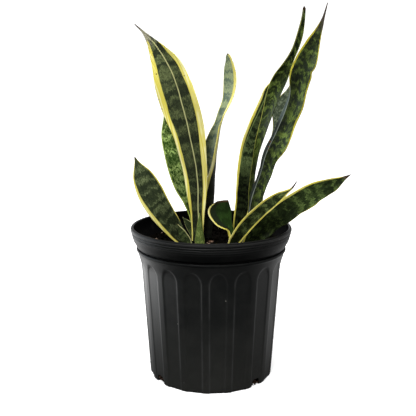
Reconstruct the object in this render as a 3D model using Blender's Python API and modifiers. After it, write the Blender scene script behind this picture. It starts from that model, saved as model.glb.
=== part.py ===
"""A snake plant in a black nursery pot.

The pot stands on the floor at the origin. Two crowns of sword-shaped leaves grow from
one creeping stem that lies buried in the soil. +X is to the right of the plant and -Y
is its front. Values multiplied by MM are in metres; the tables marked mm, and all the
leaves' sizes, are in millimetres until a point is placed.
"""
import math

import bmesh
import bpy
from mathutils import Vector, noise

MM = 0.001
GAP = 0.3 * MM                      # room between neighbouring solids
WELD = 0.01 * MM                    # points closer than this are one point

# Pot
POT_HEIGHT = 241 * MM
RIM_RADIUS = 127 * MM
FOOT_RADIUS = 98 * MM
FOOT_ROUND = 3 * MM                 # height of the sloped edge at the foot
FOOT_INSET = 1.6 * MM
BODY_TOP_RADIUS = 110 * MM          # where the plain wall meets the shoulder
BODY_TOP = 176 * MM
SHOULDER = 9 * MM                   # height of the curve above the plain wall
SHOULDER_SPREAD = 1.2 * MM
WALL = 1.8 * MM
FLOOR = 2.4 * MM
FLOOR_ROUND = 5 * MM                # height of the sloped corner of wall and floor
POT_STEPS = 72                      # flat sides of each turned ring
RIM_OUTSIDE = (                     # mm in from the rim, mm below the top, running down
    (2.6, 0), (0.8, 1.5), (0.0, 4.0), (0.4, 5.8), (2.2, 7.0),           # round lip
    (1.2, 8.6), (1.4, 10.0), (2.8, 11.4),                               # thin ridge
    (2.4, 13.5), (3.1, 16.3), (4.7, 21.2), (7.6, 26.0), (8.6, 28.6),    # collar
    (10.0, 30.2), (12.6, 32.0),                                         # groove
    (9.3, 34.4), (9.0, 36.4), (10.6, 38.6), (12.4, 44.5))              # bead
RIM_INSIDE = (                      # mm in from the rim, mm below the top, running up
    (14.8, 33.5), (12.4, 29.5), (9.8, 25.5), (6.9, 20.5), (5.2, 15.0), (4.8, 10.0), (4.6, 5.0),
    (4.8, 1.2))

# Flutes: recessed panels with arched heads all round the body
FLUTE_COUNT = 18
FLUTE_TURN = 5.4                    # degrees from the front to the nearest panel
FLUTE_DEPTH = 1.5 * MM
FLUTE_HALF_WIDTH = 12.4 * MM        # of the flat bottom of the panel, at its head
FLUTE_FOOT_SHARE = 0.88             # how much narrower the panel is at the foot
FLUTE_DRAFT = 1.2 * MM              # how far the sloped sides spread over the depth
FLUTE_HEAD = 170.5 * MM             # where the arched head springs
FLUTE_ARCH = 12 * MM
FLUTE_ARCH_OUTER = 22 * MM

# Drain holes, in four of the panels, at the corner of wall and floor
DRAIN_PANELS = (-3, 2, 6, 11)
DRAIN_WIDTH = 20 * MM
DRAIN_HEIGHT = 12 * MM
DRAIN_REACH = 12 * MM               # how far the hole goes in under the floor

# Soil and creeping stem
SOIL_LEVEL = 213.5 * MM
SOIL_EDGE = 1.2 * MM                # slope where the top meets the wall
SOIL_BUMP = 3 * MM
BUMPS = 28                          # how many bumps of the top go in a metre
HOLE_ROOM = 0.4                     # mm, room round each leaf in its hole
HOLE_SINK = 2                       # mm, how far a hole goes on below the leaf's foot
HOLE_RISE = 12                      # mm, how far a hole's cutter stands above the soil
SOIL_RINGS = (98, 80, 62, 44, 27, 12)      # mm, rings of the bumpy top
STEM_TOP = 160 * MM                 # level seat of the leaves
STEM_SLICE = 8 * MM                 # how much of the round stem that seat takes off
STEM_FLATTEN = 0.62
STEM_ROUTE = (                      # mm: x, y, radius before it is flattened
    (-60, -10, 5), (-46, -4, 15), (-24, 4, 27), (0, 4, 15), (26, 1, 21), (48, 3, 32), (72, 6, 19),
    (86, 8, 6))

# Leaves. Lengths in millimetres, angles in degrees, both read from the stem to the tip.
# spine    points along the middle of the leaf
# left     width from the middle to the left edge, at even steps from the soil to the
#          tip of the blade, and right the same to the right edge
# spike    length of the thin dry point beyond the blade
# facing   where the inner face looks: 0 is the front, 90 is +X
# roll     how far each half curls round towards the inner face
# wave     height of the edge's waves, how many, where they start in turns, and the
#          share of the width by which the right edge swells with them
LEAF_EDGE = 1.0                     # thickness at the margin
LEAF_MIDDLE = 3.2                   # thickness in the middle, halfway up
LEAF_FOOT = 5.0                     # thickness in the middle, at the stem
LEAF_END = 1.3                      # thickness at the tip
SPIKE_HALF = 0.6                    # half width of the very tip
BURIED = 54                         # length of leaf under the soil
FLAT_BELOW = 5.0                    # half width below which a leaf curls less and less
LEAF_COLUMNS = 5                    # points across each face of a leaf
LEAF_TAPER = 1.6                    # how late the blade thins towards its margins
WAVE_SLANT = 0.25                   # turns by which the right edge's waves lead
SPINE_SAMPLES = 400
SPINE_REACH = 4                     # samples each way that give the direction

LEAVES = {
    "leaf_01_tall_left": dict(
        spine=((-20, 5, 160), (-20, 4, 214), (-20, 2, 262), (-21, -1, 313), (-28, -5, 360),
               (-42, -10, 423), (-59, -12, 478), (-85, -11, 521), (-114.5, -6, 549.3)),
        left=(10.5, 13, 19, 22.5, 25, 33, 31.6, 19.2, 1.8),
        right=(8, 9.2, 11, 12.8, 15, 17.5, 20.3, 23.2, 25.9, 27, 26.8, 25.2, 22.2, 20, 12.6, 4.7, 1.4),
        spike=14,
        facing=(-10, -12, -12, -12), roll=(45, 30, 22, 25), wave=(1.5, 4.5, 0.05, 0.0), rings=26),
    "leaf_02_low_left": dict(
        spine=((-34, -6, 160), (-39, -10, 208), (-58, -16, 237), (-85.5, -28, 286), (-104.5, -34, 326),
               (-115.3, -36, 354)),
        left=(9, 13, 18, 21, 20.8, 15, 1.5), right=(12, 15, 17, 18.3, 19.4, 15, 1.5), spike=3,
        facing=(0, 5, 5, 5), roll=(40, 25, 20, 20), wave=(0.8, 2, 0.3, 0.0), rings=16),
    "leaf_03_behind_left": dict(
        spine=((-24, 21, 160), (-24, 24, 214), (-29, 27, 270), (-42, 31, 306), (-57, 35, 352),
               (-69, 36, 389), (-75, 35, 415)),
        left=(7.5, 8, 15.2, 20.2, 21.2, 18.8, 13.2, 1), right=(8, 12, 16, 18, 19, 16, 9, 1), spike=4,
        facing=(10, 12, 12, 10), roll=(40, 28, 22, 22), wave=(1.0, 2, 0.0, 0.0), rings=18),
    "leaf_04_twisted": dict(
        spine=((-8, 19, 160), (-1.5, 25, 230), (3, 28, 300), (6.4, 31, 335), (10, 34, 376),
               (16.8, 38, 408), (29, 44, 440), (33, 48, 466), (30.5, 51, 492), (26, 53, 507)),
        left=(9, 10.2, 12, 14.8, 18.6, 23, 26, 27.6, 27.4, 20, 12.6, 10.8, 12, 16, 17, 13.8, 4.8),
        right=(9, 10.8, 13, 14.8, 16, 16.3, 16, 16.5, 17, 16, 15, 15.2, 18.4, 18.7, 16.3, 10.8, 4),
        spike=3,
        facing=(-100, -120, -128, -127, -118, -88, -68, -62, -57, -50, -42),
        roll=(50, 78, 89, 62, 32, 28),
        wave=(1.0, 3, 0.2, 0.03), rings=24),
    "leaf_05_small_left": dict(
        spine=((-33, -15, 160), (-36, -20, 212), (-43, -24, 230), (-52, -28, 249)),
        left=(6.5, 7, 5.5, 0.8), right=(6.5, 7, 5.5, 0.8), spike=2,
        facing=(0, 5, 5), roll=(40, 30, 30), wave=(0, 1, 0, 0), rings=9),
    "leaf_06_small_middle": dict(
        spine=((-26, 13, 160), (-25, 14, 212), (-32, 15, 232), (-46, 16, 251)),
        left=(6, 6.5, 5.5, 0.8), right=(7, 7.5, 6.5, 0.8), spike=2,
        facing=(0, 0, 0), roll=(40, 30, 30), wave=(0, 1, 0, 0), rings=9),
    "leaf_07_sheath": dict(
        spine=((-18, -5, 160), (-18, -6, 214), (-18, -6, 240), (-18, -4, 262)),
        left=(9, 6.4, 3.8, 0.8), right=(9, 6.4, 3.8, 0.8), spike=2,
        facing=(180, 180, 180), roll=(50, 50, 40), wave=(0, 1, 0, 0), rings=9),
    "leaf_08_tall_right": dict(
        spine=((56, -1, 160), (62, 0, 220), (71.5, -1, 275), (89, -4, 329), (112, -9, 389), (128, -14, 433),
               (139.5, -18, 488), (151, -20, 522), (162.5, -22, 552), (170, -24, 579)),
        left=(10, 11.2, 12.5, 13.8, 15, 16.2, 18.8, 19.7, 18, 16.6, 16.8, 16.4, 20.2, 18.4, 12.1, 5.8, 1.5),
        right=(11, 12, 11.8, 10.6, 10.4, 12.6, 9.6, 21, 21.4, 18.2, 19.4, 17.6, 20.2, 20.5, 14.9, 7.4, 2),
        spike=20, facing=(-50, -50, -50, -40, -28), roll=(50, 35, 28, 25, 20),
        wave=(1.4, 7, 0.4, 0.1), rings=32),
    "leaf_09_slim_right": dict(
        spine=((56, 12, 160), (60, 20, 220), (64, 22, 265), (65.6, 22, 302), (75.4, 21, 362), (90, 18, 417),
               (101, 15, 456), (115, 11, 488), (128, 8, 518), (136.8, 5, 556), (139.3, 4, 576)),
        left=(7, 7, 8, 10, 11.2, 11.4, 12.6, 12, 8, 7.2, 3.4),
        right=(7, 7, 8, 10, 12, 14, 16, 14.2, 7, 6.8, 3.2),
        spike=3, facing=(-60, -69, -77, -67, -40, 20, 40), roll=(50, 35, 30, 30, 40, 70, 60),
        wave=(0.6, 4, 0.4, 0.0), rings=28),
    "leaf_10_back_right": dict(
        spine=((37, 22, 160), (45, 32, 234), (54, 35, 278), (61, 37, 320), (67, 40, 362), (77, 43, 402),
               (89, 46, 438), (101, 48, 470)),
        left=(9, 11, 13, 15.5, 18.5, 20.6, 22.3, 22.7, 22.1, 20, 16.9, 13.6, 11.2, 9.8, 1.5),
        right=(8.5, 12, 13, 10.5, 9.5, 13.5, 12, 1), spike=3,
        facing=(10, 14, 15, 10), roll=(45, 30, 25, 25), wave=(1.0, 3, 0.5, 0.0), rings=22),
    "leaf_11_grey_right": dict(
        spine=((69, 19, 160), (73, 30, 240), (84, 32, 308), (102, 33, 353), (114, 34, 385), (119, 35, 422),
               (124, 35, 458)),
        left=(7, 8, 9, 9.5, 10, 11, 12, 13, 14, 15.2, 16.8, 19.6, 22.6, 14, 2),
        right=(7, 8, 6, 6, 8, 11, 9.5, 1), spike=3,
        facing=(-10, -10, -10, -10), roll=(45, 30, 25, 25), wave=(0.8, 2, 0.1, 0.0), rings=20),
    "leaf_12_low_right": dict(
        spine=((54, -11, 160), (56, -14, 208), (70, -15, 232), (97, -18, 255), (126, -22, 277),
               (158, -25, 298), (184, -28, 311), (212, -30, 326)),
        left=(10, 16, 19, 19, 18, 15.8, 10.4, 1.7),
        right=(10, 13.2, 16, 17.9, 19, 18.5, 16.9, 18.3, 20.7, 17.8, 14.7, 15.8, 13.5, 6.8, 2), spike=6,
        facing=(-10, 0, 0, 0), roll=(45, 25, 18, 22), wave=(1.4, 5, 0.3, 0.1), rings=24),
    "leaf_13_front_right": dict(
        spine=((34, -17, 160), (33, -27, 212), (40, -33, 230), (55, -40, 252), (76, -48, 275),
               (97, -54, 293), (112, -58, 304), (120.2, -60, 310.5), (126.4, -61, 320.6)),
        left=(8.8, 10, 11, 11.2, 11, 10.6, 7.8, 1.8), right=(8.8, 10, 11, 11, 10.5, 9.4, 6.6, 1.6), spike=15,
        facing=(0, 5, 5, 0), roll=(45, 35, 30, 35), wave=(0.5, 3, 0.6, 0.0), rings=20),
    "leaf_14_cut_short": dict(
        spine=((35, 1, 160), (31, -3, 214), (28.5, -4, 232), (21, -7, 255), (20, -9, 282.5)),
        left=(3, 3, 3.6, 6, 13, 20.5, 26.5, 31, 32, 27, 14), right=(8, 8, 8.6, 11.5, 11, 7), spike=0,
        facing=(60, 55, 40, 20, 10), roll=(110, 110, 100, 60, 40), wave=(0, 1, 0, 0),
        rings=12, columns=9),
}

# Colours: red, green, blue, then roughness
FINISHES = {
    "pot_plastic": ((0.016, 0.017, 0.019), 0.42),
    "potting_soil": ((0.030, 0.019, 0.012), 0.95),
    "stem_flesh": ((0.55, 0.42, 0.20), 0.60),
    "leaf_green": ((0.035, 0.075, 0.025), 0.45),
    "leaf_grey": ((0.070, 0.110, 0.085), 0.50),
    "leaf_pale": ((0.110, 0.200, 0.045), 0.45),
}
GREY_LEAVES = ("leaf_04_twisted", "leaf_11_grey_right")
PALE_LEAVES = ("leaf_07_sheath",)


def clear_scene():
    """Remove every object of the open scene."""
    for scene_object in list(bpy.data.objects):
        bpy.data.objects.remove(scene_object, do_unlink=True)


def make_collection(name):
    """Add an empty collection to the scene."""
    collection = bpy.data.collections.new(name)
    bpy.context.scene.collection.children.link(collection)
    return collection


def make_materials():
    """Make one Principled material for each finish."""
    materials = {}
    for name, (colour, roughness) in FINISHES.items():
        material = bpy.data.materials.new(name)
        material.use_nodes = True
        shader = material.node_tree.nodes["Principled BSDF"]
        shader.inputs["Base Color"].default_value = (*colour, 1.0)
        shader.inputs["Roughness"].default_value = roughness
        shader.inputs["Metallic"].default_value = 0.0
        materials[name] = material
    return materials


def face_outward(body):
    """Turn a closed bmesh's faces outwards."""
    if body.calc_volume(signed=True) < 0:
        bmesh.ops.reverse_faces(body, faces=body.faces)


def add_object(name, mesh, collection, material=None):
    """Put a mesh in the collection as a named object."""
    new_object = bpy.data.objects.new(name, mesh)
    collection.objects.link(new_object)
    if material:
        mesh.materials.append(material)
    return new_object


def bmesh_object(name, body, collection, material=None):
    """Turn a bmesh into a named object."""
    mesh = bpy.data.meshes.new(name)
    body.to_mesh(mesh)
    body.free()
    return add_object(name, mesh, collection, material)


def hide_cutters(collection):
    """Show the cutters as wires and keep them out of renders."""
    for cutter in collection.objects:
        cutter.hide_render = True
        cutter.display_type = "WIRE"


def cut(target, cutters):
    """Cut every object of a collection out of the target."""
    boolean = target.modifiers.new(cutters.name, "BOOLEAN")
    boolean.operation = "DIFFERENCE"
    boolean.operand_type = "COLLECTION"
    boolean.collection = cutters
    boolean.solver = "EXACT"


def between(start, end, share):
    """Blend two numbers."""
    return start + (end - start) * share


def turned(name, outline, collection, material):
    """Turn an outline of (radius, height) points about Z, outer side running down."""
    profile = bmesh.new()
    corners = [profile.verts.new((radius, 0.0, height)) for radius, height in outline]
    for first, second in zip(corners, corners[1:]):
        profile.edges.new((first, second))
    body = bmesh_object(name, profile, collection, material)
    screw = body.modifiers.new("turn", "SCREW")
    screw.angle = math.tau
    screw.steps = POT_STEPS
    screw.render_steps = POT_STEPS
    screw.use_merge_vertices = True
    screw.merge_threshold = WELD
    screw.use_smooth_shade = True
    return body


def bake_modifiers(body):
    """Replace an object's mesh by its evaluated mesh."""
    evaluated = body.evaluated_get(bpy.context.evaluated_depsgraph_get())
    mesh = bpy.data.meshes.new_from_object(evaluated)
    body.modifiers.clear()
    body.data = mesh


def wall_radius(height):
    """Outer radius of the plain wall between foot and shoulder."""
    return between(FOOT_RADIUS, BODY_TOP_RADIUS, height / BODY_TOP)


def rim_points(table):
    """Radius and height of the points of a rim table."""
    return [(RIM_RADIUS - inset * MM, POT_HEIGHT - drop * MM) for inset, drop in table]


def pot_outer_outline():
    """Outer side of the pot from the top of the lip down to the foot."""
    return rim_points(RIM_OUTSIDE) + [
        (wall_radius(BODY_TOP) + SHOULDER_SPREAD, BODY_TOP + SHOULDER),
        (wall_radius(BODY_TOP), BODY_TOP),
        (wall_radius(FOOT_ROUND), FOOT_ROUND),
        (FOOT_RADIUS - FOOT_INSET, 0.0),
    ]


def pot_inner_outline():
    """Inner side of the pot from the floor up to the lip, clear of the flutes."""
    lining = FLUTE_DEPTH + WALL
    return [
        (0.0, FLOOR),
        (wall_radius(FLOOR) - lining - FOOT_INSET, FLOOR),
        (wall_radius(FLOOR_ROUND) - lining, FLOOR_ROUND),
        (wall_radius(BODY_TOP) - lining, BODY_TOP),
    ] + rim_points(RIM_INSIDE)


def inner_radius(height):
    """Radius of the inside of the pot at a height above its floor."""
    outline = pot_inner_outline()[1:]
    for (radius_low, low), (radius_high, high) in zip(outline, outline[1:]):
        if low <= height <= high:
            return between(radius_low, radius_high, (height - low) / (high - low))
    return RIM_RADIUS


def panel_angle(index):
    """Turn of a panel about Z, counted from the one nearest the front."""
    return math.radians(FLUTE_TURN + index * 360 / FLUTE_COUNT)


def flute_cutter(name, angle, collection):
    """An arch-headed block with sloped sides that lies along one panel."""
    sides = 20
    reach = 10 * MM
    block = bmesh.new()
    bmesh.ops.create_cone(block, cap_ends=True, segments=sides, radius1=1.0, radius2=1.0, depth=2.0)
    foot = -6 * MM
    for corner in block.verts:
        across, along, outward = corner.co
        outer = outward > 0
        half_width = FLUTE_HALF_WIDTH
        if outer:
            half_width += FLUTE_DRAFT * reach / FLUTE_DEPTH
        arch = FLUTE_ARCH_OUTER if outer else FLUTE_ARCH
        if along > -0.01:
            height = FLUTE_HEAD + max(along, 0.0) * arch
        else:
            height = foot
            half_width *= FLUTE_FOOT_SHARE
            across = math.copysign(1.0, across) if abs(across) > 0.5 else across * 2
        panel = wall_radius(height) - FLUTE_DEPTH
        radius = panel + reach if outer else panel
        offset = across * half_width
        corner.co = (
            radius * math.sin(angle) + offset * math.cos(angle),
            -radius * math.cos(angle) + offset * math.sin(angle),
            height)
    face_outward(block)
    return bmesh_object(name, block, collection)


def drain_cutter(name, angle, collection):
    """A block with a rounded head at the corner of wall and floor."""
    block = bmesh.new()
    bmesh.ops.create_cube(block, size=1.0)
    for corner in block.verts:
        head = corner.co.z > 0
        across = corner.co.x * DRAIN_WIDTH * (0.7 if head else 1.0)
        outer = corner.co.y < 0
        radius = FOOT_RADIUS + 8 * MM if outer else FOOT_RADIUS - DRAIN_REACH
        height = DRAIN_HEIGHT if head else -2 * MM
        corner.co = (
            radius * math.sin(angle) + across * math.cos(angle),
            -radius * math.cos(angle) + across * math.sin(angle),
            height)
    face_outward(block)
    return bmesh_object(name, block, collection)


def make_pot(parts, materials):
    """Turn the pot, then cut its flutes and drain holes."""
    outline = pot_inner_outline() + pot_outer_outline() + [(0.0, 0.0)]
    pot = turned("pot", outline, parts, materials["pot_plastic"])
    flutes = make_collection("flute_cutters")
    for index in range(FLUTE_COUNT):
        flute_cutter(f"flute_cutter_{index:02d}", panel_angle(index), flutes)
    hide_cutters(flutes)
    cut(pot, flutes)
    drains = make_collection("drain_cutters")
    for index in DRAIN_PANELS:
        drain_cutter(f"drain_cutter_{index % FLUTE_COUNT:02d}", panel_angle(index), drains)
    hide_cutters(drains)
    cut(pot, drains)
    return pot


def run_through(points, share):
    """Point on a smooth curve (Catmull-Rom) through a list of points."""
    last = len(points) - 1
    place = min(max(share, 0.0), 1.0) * last
    index = min(int(place), last - 1)
    local = place - index
    before = points[max(index - 1, 0)]
    start = points[index]
    end = points[index + 1]
    after = points[min(index + 2, last)]
    blended = []
    for p0, p1, p2, p3 in zip(before, start, end, after):
        blended.append(0.5 * (
            2 * p1 + (p2 - p0) * local
            + (2 * p0 - 5 * p1 + 4 * p2 - p3) * local ** 2
            + (3 * p1 - p0 - 3 * p2 + p3) * local ** 3))
    return blended


def along_list(values, share):
    """Value at a share of the way along a list of evenly spread values."""
    return run_through([(value,) for value in values], share)[0]


class Spine:
    """A smooth curve through unevenly spread points, read by share of its length."""

    def __init__(self, points):
        shares = [index / SPINE_SAMPLES for index in range(SPINE_SAMPLES + 1)]
        self.path = [Vector(run_through(points, share)) for share in shares]
        self.reached = [0.0]
        for first, second in zip(self.path, self.path[1:]):
            self.reached.append(self.reached[-1] + (second - first).length)
        self.length = self.reached[-1]

    def at(self, share):
        """Point and direction at a share of the length."""
        wanted = min(max(share, 0.0), 1.0) * self.length
        index = 1
        while index < len(self.reached) - 1 and self.reached[index] < wanted:
            index += 1
        step = self.reached[index] - self.reached[index - 1]
        local = (wanted - self.reached[index - 1]) / step
        point = self.path[index - 1].lerp(self.path[index], local)
        ahead = self.path[min(index + SPINE_REACH, SPINE_SAMPLES)]
        behind = self.path[max(index - SPINE_REACH, 0)]
        return point, (ahead - behind).normalized()


def half_width(leaf, side, spine, share):
    """Width from the middle of the leaf to one edge."""
    soil_share = BURIED / spine.length
    tip_share = 1.0 - leaf["spike"] / spine.length
    widths = leaf[side]
    if share <= tip_share:
        return along_list(widths, (share - soil_share) / (tip_share - soil_share))
    return between(widths[-1], SPIKE_HALF, (share - tip_share) / (1.0 - tip_share))


def leaf_thickness(spine, share):
    """Thickness in the middle of the leaf, thinning to the tip."""
    soil_share = BURIED / spine.length
    halfway = between(soil_share, 1.0, 0.45)
    if share < soil_share:
        return LEAF_FOOT
    if share < halfway:
        return between(LEAF_FOOT, LEAF_MIDDLE, (share - soil_share) / (halfway - soil_share))
    return between(LEAF_MIDDLE, LEAF_END, (share - halfway) / (1.0 - halfway))


def leaf_point(leaf, spine, share, across, face, grow):
    """Point on a leaf: across runs from -1 to 1, face is 1 inside and -1 outside."""
    middle, along = spine.at(share)
    facing = math.radians(along_list(leaf["facing"], share))
    looks = Vector((math.sin(facing), -math.cos(facing), 0.0))
    inward = (looks - along * looks.dot(along)).normalized()
    right = along.cross(inward)
    side = "left" if across < 0 else "right"
    width = half_width(leaf, side, spine, share)
    broadest = max(half_width(leaf, "left", spine, share), half_width(leaf, "right", spine, share))
    wave_height, wave_count, wave_start, swell = leaf["wave"]
    wave = math.sin(math.tau * (wave_count * share + wave_start + WAVE_SLANT * across))
    lift = wave_height * wave * across ** 2 * min(1.0, max(0.0, width / FLAT_BELOW - 1.0))
    if across > 0:
        width *= 1.0 + swell * wave
    roll = math.radians(along_list(leaf["roll"], share)) * min(1.0, broadest / FLAT_BELOW)
    bend = broadest / roll
    curl = across * width / bend
    thick = between(leaf_thickness(spine, share), LEAF_EDGE, abs(across) ** LEAF_TAPER)
    thick = min(thick, 2.0 * width)
    outward = inward * math.cos(curl) - right * math.sin(curl)
    edge = right * math.cos(curl) + inward * math.sin(curl)
    point = middle + right * bend * math.sin(curl) + inward * (bend * (1.0 - math.cos(curl)) + lift)
    point += outward * face * (thick / 2 + grow)
    point += edge * across ** 3 * grow
    return point


def leaf_mesh(name, leaf, collection, material=None, rings=None, grow=0.0, sink=0.0):
    """Bend a closed cylinder into a leaf, or into its lowest rings, split alike on both faces."""
    spine = Spine(leaf["spine"])
    columns = leaf.get("columns", LEAF_COLUMNS)
    around = 2 * columns
    all_rings = leaf["rings"]
    rings = rings or all_rings
    body = bmesh.new()
    bmesh.ops.create_cone(body, cap_ends=True, segments=around, radius1=1.0, radius2=1.0, depth=1.0)
    uprights = [edge for edge in body.edges if abs(edge.verts[0].co.z - edge.verts[1].co.z) > 0.5]
    bmesh.ops.subdivide_edges(body, edges=uprights, cuts=rings - 1, use_grid_fill=True)
    places = {}
    for corner in body.verts:
        turn = math.atan2(corner.co.x, corner.co.y) % math.tau
        column = round(turn / math.tau * around) % around
        ring = round((corner.co.z + 0.5) * rings)
        places[corner] = (column, ring)
    for wall in [face for face in body.faces if len(face.verts) == 4]:
        split_alike(wall, places, columns, around)
    foot_level = leaf["spine"][0][2] + GAP / MM
    for corner, (column, ring) in places.items():
        inner = column < columns
        step = column if inner else around - 1 - column
        across = 2.0 * step / (columns - 1) - 1.0
        face = 1 if inner else -1
        point = leaf_point(leaf, spine, ring / all_rings, across, face, grow)
        if ring == 0:
            point.z = foot_level
            above = leaf_point(leaf, spine, 1 / all_rings, across, face, grow)
            point += (point - above) * sink / (above.z - point.z)
        corner.co = point * MM
    face_outward(body)
    return bmesh_object(name, body, collection, material)


def split_alike(wall, places, columns, around):
    """Split a four-sided face so that the inner and outer faces share their diagonal."""
    ring_low = min(places[corner][1] for corner in wall.verts)
    flat = {}
    for corner in wall.verts:
        column, ring = places[corner]
        step = column if column < columns else around - 1 - column
        flat[corner] = (step, ring - ring_low)
    steps = sorted({step for step, _ in flat.values()})
    if len(steps) == 2:
        middle = (columns - 1) / 2
        near = steps[0] if steps[1] <= middle else steps[1]
        far = steps[1] if near == steps[0] else steps[0]
        start = next(corner for corner, place in flat.items() if place == (near, 0))
        end = next(corner for corner, place in flat.items() if place == (far, 1))
    else:
        start = next(corner for corner in wall.verts if places[corner][1] == ring_low)
        end = next(
            corner for corner in wall.verts
            if places[corner][1] > ring_low and places[corner][0] != places[start][0])
    bmesh.utils.face_split(wall, start, end)


def make_leaves(parts, materials):
    """Make every leaf."""
    for name, leaf in LEAVES.items():
        finish = "leaf_green"
        if name in GREY_LEAVES:
            finish = "leaf_grey"
        if name in PALE_LEAVES:
            finish = "leaf_pale"
        leaf_mesh(name, leaf, parts, materials[finish])


def stem_solid(name, collection, material=None, grow=0.0):
    """The flattened creeping stem, cut level where the leaves stand on it."""
    curve = bpy.data.curves.new(name, "CURVE")
    curve.dimensions = "3D"
    curve.bevel_depth = 1.0
    curve.bevel_resolution = 4
    curve.use_fill_caps = True
    spline = curve.splines.new("POLY")
    count = 2 * len(STEM_ROUTE) - 1
    spline.points.add(count - 1)
    for index, point in enumerate(spline.points):
        across, depth, radius = run_through(STEM_ROUTE, index / (count - 1))
        if index == 0:
            across -= grow / MM
        if index == count - 1:
            across += grow / MM
        point.co = (across * MM, depth * MM, 0.0, 1.0)
        point.radius = radius * MM + grow / STEM_FLATTEN
    source = bpy.data.objects.new(name + "_curve", curve)
    collection.objects.link(source)
    evaluated = source.evaluated_get(bpy.context.evaluated_depsgraph_get())
    mesh = bpy.data.meshes.new_from_object(evaluated)
    bpy.data.objects.remove(source)
    body = bmesh.new()
    body.from_mesh(mesh)
    bmesh.ops.remove_doubles(body, verts=body.verts, dist=WELD)
    deepest = max(radius for _, _, radius in STEM_ROUTE) * MM * STEM_FLATTEN
    middle = STEM_TOP + STEM_SLICE - deepest
    for corner in body.verts:
        corner.co.z = corner.co.z * STEM_FLATTEN + middle
    everything = body.verts[:] + body.edges[:] + body.faces[:]
    sliced = bmesh.ops.bisect_plane(
        body, geom=everything, plane_co=(0, 0, STEM_TOP + grow), plane_no=(0, 0, 1), clear_outer=True)
    rim = [item for item in sliced["geom_cut"] if isinstance(item, bmesh.types.BMEdge)]
    bmesh.ops.contextual_create(body, geom=rim)
    bmesh.ops.recalc_face_normals(body, faces=body.faces)
    return bmesh_object(name, body, collection, material)


def soil_outline():
    """Outline of the soil, a gap inside the pot, from its middle out and down."""
    shoulder = SOIL_LEVEL - SOIL_EDGE
    side = [(radius - GAP, height + GAP) for radius, height in pot_inner_outline() if height < shoulder - GAP]
    edge_radius = inner_radius(shoulder) - GAP
    top = [(0.0, SOIL_LEVEL)]
    top += [(radius * MM, SOIL_LEVEL) for radius in reversed(SOIL_RINGS)]
    top += [(edge_radius - SOIL_EDGE, SOIL_LEVEL), (edge_radius, shoulder)]
    foot = [(0.0, FLOOR + GAP)]
    return top + list(reversed(side[1:])) + foot


def make_soil(parts, materials):
    """The root ball: turned to fit the pot, bumpy on top, with a hole for each leaf."""
    soil = turned("soil", soil_outline(), parts, materials["potting_soil"])
    bake_modifiers(soil)
    for corner in soil.data.vertices:
        if corner.co.z > SOIL_LEVEL - WELD:
            place = Vector((corner.co.x, corner.co.y, 0.0)) * BUMPS
            corner.co.z += SOIL_BUMP * noise.noise(place)
    holes = make_collection("soil_cutters")
    stem_solid("stem_cutter", holes, grow=GAP)
    for name, leaf in LEAVES.items():
        ring_height = Spine(leaf["spine"]).length / leaf["rings"]
        rings = math.ceil((BURIED + HOLE_RISE) / ring_height)
        leaf_mesh(name + "_cutter", leaf, holes, rings=rings, grow=HOLE_ROOM, sink=HOLE_SINK)
    hide_cutters(holes)
    cut(soil, holes)
    return soil


def build():
    """Build the whole object."""
    clear_scene()
    parts = make_collection("potted_snake_plant")
    materials = make_materials()
    make_pot(parts, materials)
    make_leaves(parts, materials)
    stem_solid("creeping_stem", parts, materials["stem_flesh"])
    make_soil(parts, materials)


build()
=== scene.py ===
import math
import random
import bmesh
import bpy
from mathutils import Matrix, Vector, noise


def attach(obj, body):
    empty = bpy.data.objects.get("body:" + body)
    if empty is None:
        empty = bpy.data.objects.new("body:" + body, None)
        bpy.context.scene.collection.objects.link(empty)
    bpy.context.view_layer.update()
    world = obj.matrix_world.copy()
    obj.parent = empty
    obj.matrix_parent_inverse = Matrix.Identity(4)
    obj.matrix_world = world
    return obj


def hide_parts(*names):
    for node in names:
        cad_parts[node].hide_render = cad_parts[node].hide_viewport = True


# A snake plant in a black nursery pot. Lengths in the dictionaries are in millimetres, but the
# studio's and those in a leaf's look are in metres.
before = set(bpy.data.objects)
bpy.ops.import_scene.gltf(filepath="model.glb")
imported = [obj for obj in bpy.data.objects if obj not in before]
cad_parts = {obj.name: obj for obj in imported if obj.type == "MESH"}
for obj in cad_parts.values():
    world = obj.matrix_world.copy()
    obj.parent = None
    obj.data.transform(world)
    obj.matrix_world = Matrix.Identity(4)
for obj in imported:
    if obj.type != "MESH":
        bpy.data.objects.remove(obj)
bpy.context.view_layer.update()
mm = 0.001
print("frame loaded:", len(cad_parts), "nodes")


# Small tools

def between(start, end, share):
    return start + (end - start) * share


def held(value, low=0.0, high=1.0):
    return min(max(value, low), high)


def eased(value):
    value = held(value)
    return value * value * (3 - 2 * value)


def runThrough(points, share):
    # smooth curve through a list of points, share from 0 to 1
    last = len(points) - 1
    place = held(share) * last
    index = min(int(place), last - 1)
    local = place - index
    around = [points[max(index - 1, 0)], points[index], points[index + 1], points[min(index + 2, last)]]
    blended = []
    for p0, p1, p2, p3 in zip(*around):
        blended.append(0.5 * (
            2 * p1 + (p2 - p0) * local
            + (2 * p0 - 5 * p1 + 4 * p2 - p3) * local ** 2
            + (3 * p1 - p0 - 3 * p2 + p3) * local ** 3))
    return blended


def alongList(values, share):
    return runThrough([(value,) for value in values], share)[0]


def turnOutline(body, outline, steps):
    # (radius, height) points from middle to middle, turned round the pot's axis to a closed skin
    profile = [body.verts.new((radius * mm, 0, height * mm)) for radius, height in outline]
    edges = [body.edges.new(pair) for pair in zip(profile, profile[1:])]
    bmesh.ops.spin(body, geom=profile + edges, axis=(0, 0, 1), cent=(0, 0, 0), angle=math.tau,
                   steps=steps, use_merge=True, use_duplicate=False)
    bmesh.ops.remove_doubles(body, verts=body.verts, dist=0.01 * mm)


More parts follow.
